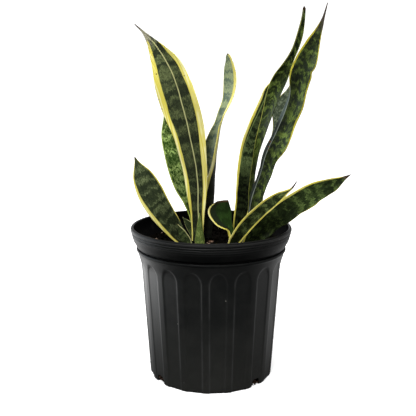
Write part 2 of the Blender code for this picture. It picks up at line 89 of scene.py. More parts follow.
def makePiece(name, body, material, nodes=()):
    # bmesh in metres to a smooth piece that rides on the plant's one body
    mesh = bpy.data.meshes.new(name)
    body.to_mesh(mesh)
    body.free()
    mesh.materials.append(material)
    mesh.shade_smooth()
    piece = bpy.data.objects.new(name, mesh)
    bpy.context.scene.collection.objects.link(piece)
    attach(piece, "root")
    if nodes:
        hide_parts(*nodes)
    return piece


# Shader tools

class Wire:
    # a shader value; a sum written with wires makes the Math nodes for it
    def __init__(self, socket):
        self.socket = socket
        self.tree = socket.id_data

    def calc(self, operation, other=0.0):
        node = self.tree.nodes.new("ShaderNodeMath")
        node.operation = operation
        feed(node.inputs[0], self)
        feed(node.inputs[1], other)
        return Wire(node.outputs["Value"])

    def __add__(self, other):
        return self.calc("ADD", other)

    def __sub__(self, other):
        return self.calc("SUBTRACT", other)

    def __rsub__(self, other):
        return self.calc("MULTIPLY", -1.0) + other

    def __mul__(self, other):
        return self.calc("MULTIPLY", other)

    def __truediv__(self, other):
        return self.calc("DIVIDE", other)

    def __abs__(self):
        return self.calc("ABSOLUTE")


def feed(socket, value):
    # value is a wire, a colour of three numbers, or what the socket takes
    if isinstance(value, Wire):
        socket.id_data.links.new(value.socket, socket)
    elif socket.type == "RGBA":
        socket.default_value = (*value, 1)
    else:
        socket.default_value = value


def wires(tree, kind):
    # outputs of a new node, by name
    return {socket.name: Wire(socket) for socket in tree.nodes.new(kind).outputs}


def ramp(value, low, high, start=0.0, end=1.0):
    # eased step of a value between low and high
    node = value.tree.nodes.new("ShaderNodeMapRange")
    node.interpolation_type = "SMOOTHSTEP"
    for socket, number in zip(node.inputs, (value, low, high, start, end)):
        feed(socket, number)
    return Wire(node.outputs["Result"])


def blendColours(share, first, second, kind="MIX"):
    tree = next(value.tree for value in (share, first, second) if isinstance(value, Wire))
    node = tree.nodes.new("ShaderNodeMix")
    node.data_type = "RGBA"
    node.blend_type = kind
    feed(node.inputs["Factor"], share)
    feed(node.inputs["A"], first)
    feed(node.inputs["B"], second)
    return Wire(node.outputs["Result"])


def joined(x, y, z):
    node = x.tree.nodes.new("ShaderNodeCombineXYZ")
    for socket, value in zip(node.inputs, (x, y, z)):
        feed(socket, value)
    return Wire(node.outputs["Vector"])


def parted(vector):
    node = vector.tree.nodes.new("ShaderNodeSeparateXYZ")
    feed(node.inputs["Vector"], vector)
    return [Wire(socket) for socket in node.outputs]


def gapBetween(first, second):
    node = first.tree.nodes.new("ShaderNodeVectorMath")
    node.operation = "DISTANCE"
    feed(node.inputs[0], first)
    feed(node.inputs[1], second)
    return Wire(node.outputs["Value"])


def cloud(vector, scale=1.0, detail=1.0, roughness=0.5):
    node = vector.tree.nodes.new("ShaderNodeTexNoise")
    feed(node.inputs["Vector"], vector)
    node.inputs["Scale"].default_value = scale
    node.inputs["Detail"].default_value = detail
    node.inputs["Roughness"].default_value = roughness
    return Wire(node.outputs["Fac"])


def startGroup(name, inputs, outputs):
    # inputs and outputs are lists of names under Float, Color and Vector
    tree = bpy.data.node_groups.new(name, "ShaderNodeTree")
    for side, sockets in (("INPUT", inputs), ("OUTPUT", outputs)):
        for kind, labels in sockets.items():
            for label in labels:
                tree.interface.new_socket(label, in_out=side, socket_type="NodeSocket" + kind)
    return tree, wires(tree, "NodeGroupInput"), tree.nodes.new("NodeGroupOutput").inputs


def useGroup(tree, group, values):
    node = tree.nodes.new("ShaderNodeGroup")
    node.node_tree = group
    for label, value in values.items():
        feed(node.inputs[label], value)
    return [Wire(socket) for socket in node.outputs]


def startMaterial(name):
    material = bpy.data.materials.new(name)
    material.use_nodes = True
    return material, material.node_tree, material.node_tree.nodes["Principled BSDF"].inputs


def addBump(shader, height, depth):
    node = height.tree.nodes.new("ShaderNodeBump")
    node.inputs["Distance"].default_value = depth
    feed(node.inputs["Height"], height)
    feed(shader["Normal"], Wire(node.outputs["Normal"]))


def readAttribute(tree, name):
    node = tree.nodes.new("ShaderNodeAttribute")
    node.attribute_name = name
    return parted(Wire(node.outputs["Vector"]))


# Camera, floor and light

view = {"x": -4.9, "y": -1150, "z": 495, "pitch": 11.15, "focalPixels": 745, "imagePixels": 416}


def makeCamera():
    lens = bpy.data.cameras.new("photoCamera")
    lens.sensor_width = 36
    lens.lens = view["focalPixels"] / view["imagePixels"] * lens.sensor_width
    lens.clip_start = 0.05
    camera = bpy.data.objects.new("photoCamera", lens)
    camera.location = (view["x"] * mm, view["y"] * mm, view["z"] * mm)
    camera.rotation_euler = (math.radians(90 - view["pitch"]), 0, 0)
    bpy.context.scene.collection.objects.link(camera)
    bpy.context.scene.camera = camera


studio = {
    "floorRadius": 3.0, "floorColour": (0.12, 0.12, 0.12), "seenFloor": (0.80, 0.80, 0.80),
    "glowNear": 0.56, "glowFar": 1.15, "glowFrom": 0.20, "glowTo": 0.62,    # the floor, as seen
    "seenWhite": 1.3, "fill": 0.08,     # the backdrop as seen, and the light that it gives
    "mirrored": 0.9, "leftGain": 6.5, "leftTint": (0.84, 0.92, 1.0),    # what shiny parts mirror
    "lights": {             # place and aim, size, power in watts
        "keyBox": ((-0.7, -1.9, 2.3), (0, 0, 0.3), (0.9, 0.9), 84),
        "topBox": ((0.0, 0.1, 2.3), (0, 0, 0.2), (1.6, 1.6), 50),
        "rightBox": ((1.6, -1.5, 1.5), (0, 0, 0.3), (1.4, 1.4), 14),
    },
}


def makeFloorPaint():
    # the camera sees a white floor with a faint shadow. The pot mirrors a floor that is dull in
    # front, white beside and behind the plant, and brightest at the left
    material, tree, shader = startMaterial("floorPaint")
    rays = wires(tree, "ShaderNodeLightPath")
    seen = rays["Is Camera Ray"]
    spot = wires(tree, "ShaderNodeTexCoord")["Object"]
    x, y, _ = parted(spot)
    glow = ramp(gapBetween(spot, (0, 0, 0)), studio["glowFrom"], studio["glowTo"],
                studio["glowNear"], studio["glowFar"])
    mirrored = ramp(abs(x) * 0.5 + y, -0.05, 0.45, 0.0, studio["mirrored"])
    mirrored = mirrored * ramp(x, -0.8, -0.15, studio["leftGain"], 1.0) * rays["Is Glossy Ray"]
    feed(shader["Base Color"], blendColours(seen, studio["floorColour"], studio["seenFloor"]))
    feed(shader["Emission Color"], (1, 1, 1))
    feed(shader["Emission Strength"], glow * seen + mirrored)
    shader["Roughness"].default_value = 0.9
    shader["Specular IOR Level"].default_value = 0.1
    return material


def makeStudio():
    floorBody = bmesh.new()
    bmesh.ops.create_circle(floorBody, cap_ends=True, segments=64, radius=studio["floorRadius"])
    floorMesh = bpy.data.meshes.new("floor")
    floorBody.to_mesh(floorMesh)
    floorBody.free()
    floorMesh.materials.append(makeFloorPaint())
    floor = bpy.data.objects.new("floor", floorMesh)
    bpy.context.scene.collection.objects.link(floor)

    for name, (place, aim, size, power) in studio["lights"].items():
        lamp = bpy.data.lights.new(name, "AREA")
        lamp.shape = "RECTANGLE"
        lamp.size, lamp.size_y = size
        lamp.energy = power
        holder = bpy.data.objects.new(name, lamp)
        holder.location = place
        holder.rotation_euler = (Vector(aim) - Vector(place)).to_track_quat("-Z", "Y").to_euler()
        holder.visible_camera = False
        bpy.context.scene.collection.objects.link(holder)

    # backdrop, white to the camera; the pot mirrors it white behind the plant and at the left
    world = bpy.data.worlds.new("studioWorld")
    world.use_nodes = True
    background = world.node_tree.nodes["Background"].inputs
    rays = wires(world.node_tree, "ShaderNodeLightPath")
    shiny = rays["Is Glossy Ray"]
    x, y, _ = parted(wires(world.node_tree, "ShaderNodeTexCoord")["Generated"])
    leftward = ramp(x, -0.95, -0.35, 1.0, 0.0)
    mirrored = ramp(y, -0.4, 0.3, 0.0, studio["mirrored"]) * (leftward * (studio["leftGain"] - 1) + 1.0)
    plain = ramp(rays["Is Camera Ray"], 0.0, 1.0, studio["fill"], studio["seenWhite"])
    feed(background["Color"], blendColours(leftward * shiny, (1, 1, 1), studio["leftTint"]))
    feed(background["Strength"], mirrored * shiny + plain)
    bpy.context.scene.world = world
    bpy.context.scene.view_settings.view_transform = "Standard"


makeCamera()
makeStudio()
print("camera, floor and light made")


# Patterns that several materials share

def makeStreaks():
    # fine lines that run along a leaf, and a grain of specks
    tree, given, result = startGroup(
        "streaks", {"Float": ("Across", "Along", "Seed")}, {"Float": ("Lines", "Specks")})
    across, along, seed = given["Across"], given["Along"], given["Seed"]
    feed(result["Lines"], cloud(joined(across * 1150, along * 15, seed), detail=2))
    feed(result["Specks"], cloud(joined(across * 620, along * 400, seed), detail=2, roughness=0.6))
    return tree


def makeSpots():
    # sparse round marks with ragged edges, one in each of a share of the cells
    tree, given, result = startGroup(
        "spots", {"Vector": ("Vector",), "Float": ("Size", "Share")}, {"Float": ("Mask", "Tone")})
    cells = tree.nodes.new("ShaderNodeTexVoronoi")
    cells.inputs["Scale"].default_value = 1
    feed(cells.inputs["Vector"], given["Vector"])
    order, size, tone = parted(Wire(cells.outputs["Color"]))      # three random values of the cell
    size = given["Size"] * (size * 0.7 + 0.4)
    ragged = cloud(given["Vector"], scale=9) * 0.08 + Wire(cells.outputs["Distance"])
    feed(result["Mask"], ramp(size + 0.04 - ragged, 0.0, 0.05) * order.calc("LESS_THAN", given["Share"]))
    feed(result["Tone"], tone)
    return tree


streaks = makeStreaks()
spots = makeSpots()


markNames = ("Mark 1", "Mark 2", "Mark 3", "Mark 4")

leafClouds = {      # blotches per metre across and along (loose: per band), shift of the seed, detail
    "teeth": (620, 38, 0.0, 2), "sway": (95, 40, 3.1, 1), "loose": (14, 1, 7.3, 4),
    "wander": (0, 30, 5.0, 1), "cream": (520, 9, 9.4, 2), "dusk": (60, 30, 4.4, 2),
    "fray": (300, 90, 6.0, 2),
}

leafStains = {
    "freshSpot": (0.26, 0.10, 0.01), "oldSpot": (0.06, 0.013, 0.004), "mark": (0.085, 0.022, 0.005),
    "deadTip": (0.040, 0.024, 0.012),
}


def makeLeafPattern():
    tree, given, result = startGroup("leafPattern", {
        "Float": ("Across", "Along", "Inner", "Margin", "Tip", "Strip", "Tone", "Seed", "Bands", "Contrast",
                  "Beat", "Patches", "Patch Size", "Jag", "Vee", "Rib", "Dry", "Spots", "Dull Back",
                  "Strip Line", "Strip Top"),
        "Color": ("Dark", "Light", "Yellow", "Cream", "Back", "Strip Colour", "Line Colour", "Tip Colour"),
        "Vector": markNames,
    }, {"Color": ("Color",), "Float": ("Roughness", "Height")})
    across, along, inner, seed = (given[label] for label in ("Across", "Along", "Inner", "Seed"))

    def clouded(name, lengthwise=along, roughness=0.5):
        acrossScale, alongScale, shift, detail = leafClouds[name]
        where = joined(across * acrossScale, lengthwise * alongScale, seed + shift)
        return cloud(where, detail=detail, roughness=roughness)

    # cross bands whose edges are drawn out into teeth along the leaf
    teeth = clouded("teeth") - 0.5
    sway = clouded("sway") - 0.5
    bent = (sway * 1.3 + teeth) * given["Jag"] + along
    bent = abs(across) * given["Vee"] + bent
    run = bent * given["Bands"]
    loose = clouded("loose", run, 0.6)
    wave = (loose * 5.0 + run * math.pi).calc("SINE")
    bandMask = ramp(wave * given["Beat"] + loose, 0.46, 0.54)
    patchSize = given["Patch Size"]
    patches = cloud(joined(across * patchSize, bent * patchSize, seed + 11.7), detail=5, roughness=0.66)
    patches = (bandMask * 0.75 + 0.25) * ramp(patches, 0.45, 0.54)
    mask = bandMask * (1.0 - given["Patches"]) + patches * given["Patches"]
    lines, specks = useGroup(tree, streaks, {"Across": across, "Along": along, "Seed": seed})
    grain = lines * 0.40 + specks * 0.70
    light = mask * given["Contrast"] * ramp(grain, 0.38, 0.68, 0.35, 1.25)
    green = blendColours(light, given["Dark"], given["Light"])
    green = blendColours(ramp(grain, 0.45, 0.75, 0.0, 0.07), green, given["Light"])
    # the back face is mixed towards Back: a duller back, and on the twisted leaf near-black painted shade
    green = blendColours((1.0 - inner) * given["Dull Back"], green, given["Back"])
    # Tone is painted light and shade: the green darkened or lightened along each half of the leaf
    green = blendColours(1.0, green, given["Tone"], "MULTIPLY")

    # pale middle line
    ribGap = abs((clouded("wander") - 0.5) * 0.0016 + across)
    ribMask = ramp(ribGap, 0.0005, 0.0011, 1.0, 0.0) * given["Rib"] * inner
    green = blendColours(ribMask, green, blendColours(0.55, given["Cream"], given["Light"]))

    # strip along the left edge where the leaf shows its grey back or a second pale line
    strip = teeth * 0.0010 + given["Strip"]
    high = ramp(along - given["Strip Top"], -0.008, 0.008)
    stripShade = ramp(grain, 0.35, 0.60, 0.35, 1.0) * high
    stripShade = blendColours(stripShade, given["Back"], given["Strip Colour"])
    green = blendColours(ramp(strip, -0.0004, 0.0004) * inner, green, stripShade)
    lineMask = ramp(abs(strip), 0.0003, 0.0009, 1.0, 0.0) * given["Strip Line"] * inner
    green = blendColours(lineMask, green, given["Line Colour"])

    # yellow margin, with cream streaks and a greener seam
    ragged = teeth * 0.0014 + given["Margin"]
    marginMask = ramp(ragged, -0.00035, 0.00035)
    yellow = blendColours(ramp(clouded("cream"), 0.38, 0.60), given["Yellow"], given["Cream"])
    yellow = blendColours(ramp(clouded("dusk"), 0.54, 0.74, 0.0, 0.7), yellow, given["Yellow"])
    yellow = blendColours(ramp(ragged, 0.0006, 0.0040, 0.75, 0.0), yellow, given["Yellow"])
    seam = blendColours(0.6, given["Yellow"], given["Light"])
    yellow = blendColours(ramp(ragged, 0.0, 0.0009, 0.30, 0.0), yellow, seam)
    colour = blendColours(marginMask, green, yellow)

    # brown marks, strewn ones mostly on the margins and up to four at stated places
    marked, age = useGroup(tree, spots, {
        "Vector": joined(across * 110, along * 110, seed + 2.0), "Size": 0.10,
        "Share": given["Spots"] * (marginMask * 0.9 + 0.1)})
    brown = blendColours(age, leafStains["freshSpot"], leafStains["oldSpot"])
    colour = blendColours(marked * 0.85, colour, brown)
    here = joined(across, along, 0.0)
    for label in markNames:
        markAcross, markAlong, radius = parted(given[label])
        inside = teeth * 0.0008 + radius - gapBetween(here, joined(markAcross, markAlong, 0.0))
        mark = ramp(inside, -0.0003, 0.0004) * inner
        colour = blendColours(mark * 0.9, colour, leafStains["mark"])
        marked = marked.calc("MAXIMUM", mark)

    # dry tip
    reach = (clouded("fray") - 0.5) * given["Dry"] + given["Tip"]
    dryMask = ramp(reach / (given["Dry"] + 0.00001), 0.7, 1.25, 1.0, 0.0)
    film = ramp(specks, 0.30, 0.60, 0.5, 1.0) * ramp(given["Tip"], 0.006, 0.015)
    colour = blendColours(dryMask, colour, blendColours(film, leafStains["deadTip"], given["Tip Colour"]))

    rough = lines * 0.24 + 0.36 + marginMask * 0.06
    feed(result["Color"], colour)
    feed(result["Roughness"], rough.calc("MAXIMUM", dryMask * 0.85))
    feed(result["Height"], lines + specks * 0.35 + bandMask * 0.25 - marked * 1.2)
    return tree


leafPattern = makeLeafPattern()

usualLook = {       # a leaf's look names what differs from this one
    "Bands": 90, "Contrast": 0.85, "Beat": 0.07, "Patches": 0.4, "Patch Size": 150, "Jag": 0.014, "Vee": 0,
    "Rib": 0, "Dry": 0.003, "Spots": 0.03, "Dull Back": 0.4, "Strip Line": 0, "Strip Top": 0,
    "Dark": (0.014, 0.022, 0.008), "Light": (0.130, 0.170, 0.060), "Yellow": (0.71, 0.62, 0.09),
    "Cream": (0.88, 0.83, 0.38), "Back": (0.030, 0.036, 0.028), "Tip Colour": (0.20, 0.15, 0.10),
    "Strip Colour": (0.10, 0.12, 0.11), "Line Colour": (0.30, 0.34, 0.30),
}
leafSkin = {"gloss": 0.09, "bump": 0.12, "noMark": (9, 9, 0)}      # noMark lies off every leaf


def makeLeafMaterial(name, look, seed):
    # blade says where across and along the leaf a point is, and if it is on the inner face;
    # bounds how far it is inside the margin, from the tip and inside the pale strip
    material, tree, shader = startMaterial(name)
    values = {label: leafSkin["noMark"] for label in markNames} | usualLook | look | {"Seed": seed}
    values.update(zip(("Across", "Along", "Inner"), readAttribute(tree, "blade")))
    values.update(zip(("Margin", "Tip", "Strip"), readAttribute(tree, "bounds")))
    # the tone attribute carries the painted light and shade along the leaf
    values["Tone"] = readAttribute(tree, "tone")[0]
    colour, roughness, height = useGroup(tree, leafPattern, values)
    feed(shader["Base Color"], colour)
    feed(shader["Roughness"], roughness)
    shader["Specular IOR Level"].default_value = leafSkin["gloss"]
    addBump(shader, height, leafSkin["bump"] * mm)
    return material


# Leaves. Each grows along its spine, from the stem in the soil to the tip.
# left and right are the half widths at even steps from the soil to the end of the blade, and
# spike the length of the point beyond it. facing is where the inner face looks (0 is the
# front, 90 is +X), roll how far each half curls in, and wave the edge's waves (height, how
# many, start, swell of the right edge). marginLeft and marginRight are the width of the
# yellow, strip that of the pale strip on the left, and the painted light and shade list how
# light the green of the left and right half is painted along the leaf, mostly painted shade
# low down among the leaves. A mark is its place across and along the leaf, and its radius.

leafForm = {
    "foot": 5.0, "middle": 3.2, "end": 1.3, "middleAt": 0.45,      # thickness along the middle line
    "edge": 1.0, "taper": 1.6, "edgeRound": 0.6, "sharpest": 0.16,
    "spikeHalf": 0.6, "buried": 54,         # the spine's length below the top of the soil
    "flatBelow": 5.0,               # half width under which roll and waves fade
    "waveSlant": 0.25, "ripple": 0.55, "rippleAcross": 2.6, "rippleLength": 26, "seedStep": 3.7,
    "crease": 0.3, "creaseWidth": 1.7,
    "rippleFull": 12, "creaseFull": 8,      # half widths from which ripple and crease are full
    "columns": 21, "crowding": 1.35,        # columns crowd towards the edges
    "ringStep": 3.2, "samples": 400, "reach": 4, "toneSpread": 1.2,
}


class Spine:
    def __init__(self, points):
        count = leafForm["samples"]
        self.path = [Vector(runThrough(points, index / count)) for index in range(count + 1)]
        self.reached = [0.0]
        for first, second in zip(self.path, self.path[1:]):
            self.reached.append(self.reached[-1] + (second - first).length)
        self.length = self.reached[-1]
        self.soilShare = leafForm["buried"] / self.length

    def at(self, share):
        # the point at a share of the length, and which way the spine goes there
        wanted = held(share) * self.length
        index = 1
        while index < len(self.reached) - 1 and self.reached[index] < wanted:
            index += 1
        step = self.reached[index] - self.reached[index - 1]
        point = self.path[index - 1].lerp(self.path[index], (wanted - self.reached[index - 1]) / step)
        ahead = self.path[min(index + leafForm["reach"], leafForm["samples"])]
        behind = self.path[max(index - leafForm["reach"], 0)]
        return point, (ahead - behind).normalized()


def halfWidth(leaf, side, spine, share):
    tipShare = 1 - leaf["spike"] / spine.length
    widths = leaf[side]
    if share > tipShare:
        return between(widths[-1], leafForm["spikeHalf"], (share - tipShare) / (1 - tipShare))
    width = alongList(widths, (share - spine.soilShare) / (tipShare - spine.soilShare))
    for nick in leaf.get("nicks", ()):          # torn places on an edge
        if nick["side"] == side:
            gap = (share * spine.length - nick["along"]) / nick["length"]
            width -= nick["depth"] * math.exp(-gap ** 2 * 4)
    return width


def leafThickness(spine, share):
    halfway = between(spine.soilShare, 1.0, leafForm["middleAt"])
    if share < spine.soilShare:
        return leafForm["foot"]
    if share < halfway:
        part = (share - spine.soilShare) / (halfway - spine.soilShare)
        return between(leafForm["foot"], leafForm["middle"], part)
    return between(leafForm["middle"], leafForm["end"], (share - halfway) / (1 - halfway))


def makeRing(leaf, spine, share):
    # everything that is the same all round the leaf at one place along it
    middle, along = spine.at(share)
    facing = math.radians(alongList(leaf["facing"], share))
    looks = Vector((math.sin(facing), -math.cos(facing), 0))
    inward = (looks - along * looks.dot(along)).normalized()
    left, right = halfWidth(leaf, "left", spine, share), halfWidth(leaf, "right", spine, share)
    broadest = max(left, right)
    roll = math.radians(alongList(leaf["roll"], share)) * min(1.0, broadest / leafForm["flatBelow"])
    bladeShare = held((share - spine.soilShare) / (1 - spine.soilShare))
    return {
        "share": share, "middle": middle, "inward": inward, "right": along.cross(inward),
        "bend": broadest / roll, "thick": leafThickness(spine, share),
        "leftWidth": left, "rightWidth": right,
        "leftMargin": alongList(leaf["marginLeft"], bladeShare),
        "rightMargin": alongList(leaf["marginRight"], bladeShare),
        "strip": alongList(leaf.get("strip", (-9, -9)), bladeShare),
        "tones": [alongList(tones, bladeShare) for tones in leaf.get("tones", ((1, 1), (1, 1)))],
    }


def leafPoint(leaf, spine, ring, across, face):
    # across is -1 at the left edge and 1 at the right, face 1 on the inner side and -1 on the back
    width = ring["leftWidth"] if across < 0 else ring["rightWidth"]
    height, count, start, swell = leaf["wave"]
    wave = math.sin(math.tau * (count * ring["share"] + start + leafForm["waveSlant"] * across))
    lift = height * wave * across ** 2 * held(width / leafForm["flatBelow"] - 1)
    if across > 0:
        width *= 1 + swell * wave
    distance = across * width
    ripple = noise.noise(Vector((across * leafForm["rippleAcross"],
                                 ring["share"] * spine.length / leafForm["rippleLength"],
                                 leaf["seed"] * leafForm["seedStep"])))
    lift += leafForm["ripple"] * ripple * held(width / leafForm["rippleFull"]) * (1 - 0.5 * abs(across))
    crease = leaf.get("crease", leafForm["crease"]) * math.exp(-(distance / leafForm["creaseWidth"]) ** 2)
    lift -= crease * held(width / leafForm["creaseFull"])
    bend = ring["bend"]
    curl = distance / bend
    thick = between(ring["thick"], leafForm["edge"], abs(across) ** leafForm["taper"])
    rounding = leafForm["edgeRound"] * leafForm["edge"]
    rounded = held((1 - abs(across)) * width / rounding, leafForm["sharpest"])
    thick = min(thick, 2 * width) * math.sqrt(1 - (1 - rounded) ** 2)
    inward, right = ring["inward"], ring["right"]
    outward = inward * math.cos(curl) - right * math.sin(curl)
    point = ring["middle"] + right * bend * math.sin(curl) + inward * (bend * (1 - math.cos(curl)) + lift)
    return point + outward * face * thick / 2, distance, width


def makeLeaf(name, node, leaf):
    # a cone's rings and columns, each corner moved to its place on the leaf
    spine = Spine(leaf["spine"])
    columns = leaf.get("columns", leafForm["columns"])
    around = 2 * columns
    count = math.ceil(spine.length / leafForm["ringStep"])
    rings = [makeRing(leaf, spine, index / count) for index in range(count + 1)]
    body = bmesh.new()
    bmesh.ops.create_cone(body, cap_ends=True, segments=around, radius1=1, radius2=1, depth=1)
    uprights = [edge for edge in body.edges if abs(edge.verts[0].co.z - edge.verts[1].co.z) > 0.5]
    bmesh.ops.subdivide_edges(body, edges=uprights, cuts=count - 1, use_grid_fill=True)
    blade = body.verts.layers.float_vector.new("blade")
    bounds = body.verts.layers.float_vector.new("bounds")
    tone = body.verts.layers.float.new("tone")
    for corner in body.verts:
        turn = math.atan2(corner.co.x, corner.co.y) % math.tau
        column = round(turn / math.tau * around) % around
        ring = rings[round((corner.co.z + 0.5) * count)]
        inner = column < columns
        step = column if inner else around - 1 - column
        even = 2 * step / (columns - 1) - 1
        across = math.copysign(1 - (1 - abs(even)) ** leafForm["crowding"], even)
        point, distance, width = leafPoint(leaf, spine, ring, across, 1 if inner else -1)
        corner.co = point * mm
        margin = ring["leftMargin" if across < 0 else "rightMargin"]
        toEdge = abs(distance) - width + margin
        toTip = (1 - ring["share"]) * spine.length
        corner[blade] = (distance * mm, ring["share"] * spine.length * mm, 1.0 if inner else 0.0)
        corner[bounds] = (toEdge * mm, toTip * mm, (ring["strip"] - distance - ring["leftWidth"]) * mm)
        # painted light and shade, blended between the leaf's two halves
        corner[tone] = between(*ring["tones"], eased(0.5 + across * leafForm["toneSpread"]))
    if body.calc_volume(signed=True) < 0:
        bmesh.ops.reverse_faces(body, faces=body.faces)
    makePiece(name, body, makeLeafMaterial(name + "Skin", leaf["look"], leaf["seed"]), [node])


# the green of the two tall leaves on the right
olive = {"Dark": (0.003, 0.007, 0.001), "Light": (0.104, 0.150, 0.030)}

tallLeft = {
    "spine": ((-20, 5, 160), (-20, 4, 214), (-20, 2, 262), (-21, -1, 313), (-28, -5, 360), (-42, -10, 423),
              (-59, -12, 478), (-85, -11, 521), (-114.5, -6, 549.3)),
    "left": (10.5, 13, 19, 22.5, 25, 33, 31.6, 19.2, 1.8),
    "right": (8, 9.2, 11, 12.8, 15, 17.5, 20.3, 23.2, 25.9, 27, 26.8, 25.2, 22.2, 20, 12.6, 4.7, 1.4),
    "spike": 14,
    "facing": (-10, -12, -12, -12), "roll": (45, 30, 22, 25), "wave": (1.5, 4.5, 0.05, 0.0), "seed": 1,
    "marginLeft": (1.2, 1.5, 2.6, 4.6, 5.4, 5.6, 5.6, 5.8, 6.4, 7.8, 10.4, 10, 8.6, 7, 5.2, 1.5, -3),
    "marginRight": (1.2, 1.8, 4.2, 5.4, 6.8, 8.2, 9.4, 10.2, 10.2, 9.6, 8.8, 8.4, 7.6, 6, 0.5, -5, -8),
    "crease": 0.9,
    "tones": ((0.5, 0.5, 0.55, 0.65, 0.85, 1.0, 1.15), (0.5, 0.5, 0.5, 0.6, 0.75, 0.85, 0.9)),
    "look": {"Dark": (0.020, 0.027, 0.014), "Light": (0.170, 0.205, 0.080), "Bands": 85, "Contrast": 0.75,
             "Patches": 0.6, "Patch Size": 240, "Rib": 1, "Dry": 0.034, "Spots": 0.05,
             "Tip Colour": (0.30, 0.29, 0.21), "Mark 1": (-0.0221, 0.3320, 0.0012),
             "Mark 2": (-0.0324, 0.2745, 0.0010), "Mark 3": (0.0165, 0.3128, 0.0010),
             "Mark 4": (-0.0324, 0.2905, 0.0007)},
}
makeLeaf("tallLeftLeaf", "leaf_01_tall_left", tallLeft)

lowLeft = {
    "spine": ((-34, -6, 160), (-39, -10, 208), (-58, -16, 237), (-85.5, -28, 286), (-104.5, -34, 326),
              (-115.3, -36, 354)),
    "left": (9, 13, 18, 21, 20.8, 15, 1.5), "right": (12, 15, 17, 18.3, 19.4, 15, 1.5), "spike": 3,
    "facing": (0, 5, 5, 5), "roll": (40, 25, 20, 20), "wave": (0.8, 2, 0.3, 0.0), "seed": 2,
    "marginLeft": (2.5, 4, 5.4, 5.4, 3.6, 1.5, 0), "marginRight": (-1, -0.5, 0.8, 1.6, 1.8, 1.5, 0),
    "tones": ((0.4, 0.75, 1.1, 1.2), (0.4, 0.75, 1.1, 1.2)),
    "look": {"Dark": (0.016, 0.023, 0.011), "Light": (0.165, 0.205, 0.088), "Bands": 110, "Patches": 0.6,
             "Contrast": 0.8, "Patch Size": 220},
}
makeLeaf("lowLeftLeaf", "leaf_02_low_left", lowLeft)

behindLeft = {
    "spine": ((-24, 21, 160), (-24, 24, 214), (-29, 27, 270), (-42, 31, 306), (-57, 35, 352), (-69, 36, 389),
              (-75, 35, 415)),
    "left": (7.5, 8, 15.2, 20.2, 21.2, 18.8, 13.2, 1), "right": (8, 12, 16, 18, 19, 16, 9, 1), "spike": 4,
    "facing": (10, 12, 12, 10), "roll": (40, 28, 22, 22), "wave": (1.0, 2, 0.0, 0.0), "seed": 3,
    "marginLeft": (1.5, 1.5, 1.5, 1.5, 1.5, 1.2, 1, 0), "marginRight": (2, 2, 2, 2, 2, 2, 1, 0),
    "tones": ((0.35, 0.45, 0.65, 1.35, 0.8), (0.3, 0.4, 0.5, 1.1, 0.6)),
    "look": {"Dark": (0.010, 0.034, 0.003), "Light": (0.330, 0.460, 0.130), "Bands": 80, "Patches": 0.97,
             "Contrast": 1.05, "Patch Size": 270, "Yellow": (0.34, 0.42, 0.07),
             "Cream": (0.50, 0.56, 0.15)},
}
makeLeaf("behindLeftLeaf", "leaf_03_behind_left", behindLeft)

twisted = {
    "spine": ((-8, 19, 160), (-1.5, 25, 230), (3, 28, 300), (6.4, 31, 335), (10, 34, 376), (16.8, 38, 408),
              (29, 44, 440), (33, 48, 466), (30.5, 51, 492), (26, 53, 507)),
    "left": (9, 10.2, 12, 14.8, 18.6, 23, 26, 27.6, 27.4, 20, 12.6, 10.8, 12, 16, 17, 13.8, 4.8),
    "right": (9, 10.8, 13, 14.8, 16, 16.3, 16, 16.5, 17, 16, 15, 15.2, 18.4, 18.7, 16.3, 10.8, 4),
    "spike": 3,
    "facing": (-100, -120, -128, -127, -118, -88, -68, -62, -57, -50, -42),
    "roll": (50, 78, 89, 62, 32, 28), "wave": (1.0, 3, 0.2, 0.03), "seed": 4,
    "marginLeft": (1, 1, 1, 1, 1, 1, 1, 0.5, 0), "marginRight": (-1, -0.5, 5, 6.5, 6.5, 7, 10.5, 10, 3),
    "tones": ((0.42, 0.42, 0.5, 0.55, 0.7, 0.95, 0.9), (0.42, 0.42, 0.5, 0.55, 0.7, 0.95, 0.9)),
    "look": {"Dark": (0.095, 0.135, 0.092), "Light": (0.360, 0.420, 0.215), "Bands": 95, "Patches": 0.1,
             # Back and its high share paint the outer face near black, as painted shade on the side turned
             # from the light
             "Contrast": 0.75, "Cream": (0.92, 0.89, 0.56), "Spots": 0.12, "Dry": 0.002, "Dull Back": 0.92,
             "Back": (0.012, 0.012, 0.009), "Mark 1": (0.0129, 0.3253, 0.0010),
             "Mark 2": (0.0120, 0.2328, 0.0012), "Mark 3": (0.0108, 0.2232, 0.0011),
             "Mark 4": (0.0120, 0.1881, 0.0016)},
}
makeLeaf("twistedLeaf", "leaf_04_twisted", twisted)

smallLeft = {
    "spine": ((-33, -15, 160), (-36, -20, 212), (-43, -24, 230), (-52, -28, 249)),
    "left": (6.5, 7, 5.5, 0.8), "right": (6.5, 7, 5.5, 0.8), "spike": 2, "facing": (0, 5, 5),
    "roll": (40, 30, 30), "wave": (0, 1, 0, 0), "seed": 5, "marginLeft": (-2, -2, -2, -2),
    "marginRight": (0.9, 0.9, 0.9, 0.5),
    "look": {"Bands": 140, "Contrast": 0.5, "Dry": 0.0008, "Yellow": (0.42, 0.42, 0.18),
             "Cream": (0.58, 0.60, 0.36)},
}
makeLeaf("smallLeftLeaf", "leaf_05_small_left", smallLeft)

smallMiddle = {
    "spine": ((-26, 13, 160), (-25, 14, 212), (-32, 15, 232), (-46, 16, 251)),
    "left": (6, 6.5, 5.5, 0.8), "right": (7, 7.5, 6.5, 0.8), "spike": 2, "facing": (0, 0, 0),
    "roll": (40, 30, 30), "wave": (0, 1, 0, 0), "seed": 6, "marginLeft": (0.4, 0.4, 0.4, 0),
    "marginRight": (0.5, 0.5, 0.5, 0),
    "look": {"Bands": 140, "Contrast": 0.5, "Dry": 0.0008, "Yellow": (0.36, 0.36, 0.14),
             "Cream": (0.46, 0.48, 0.24)},
}
makeLeaf("smallMiddleLeaf", "leaf_06_small_middle", smallMiddle)

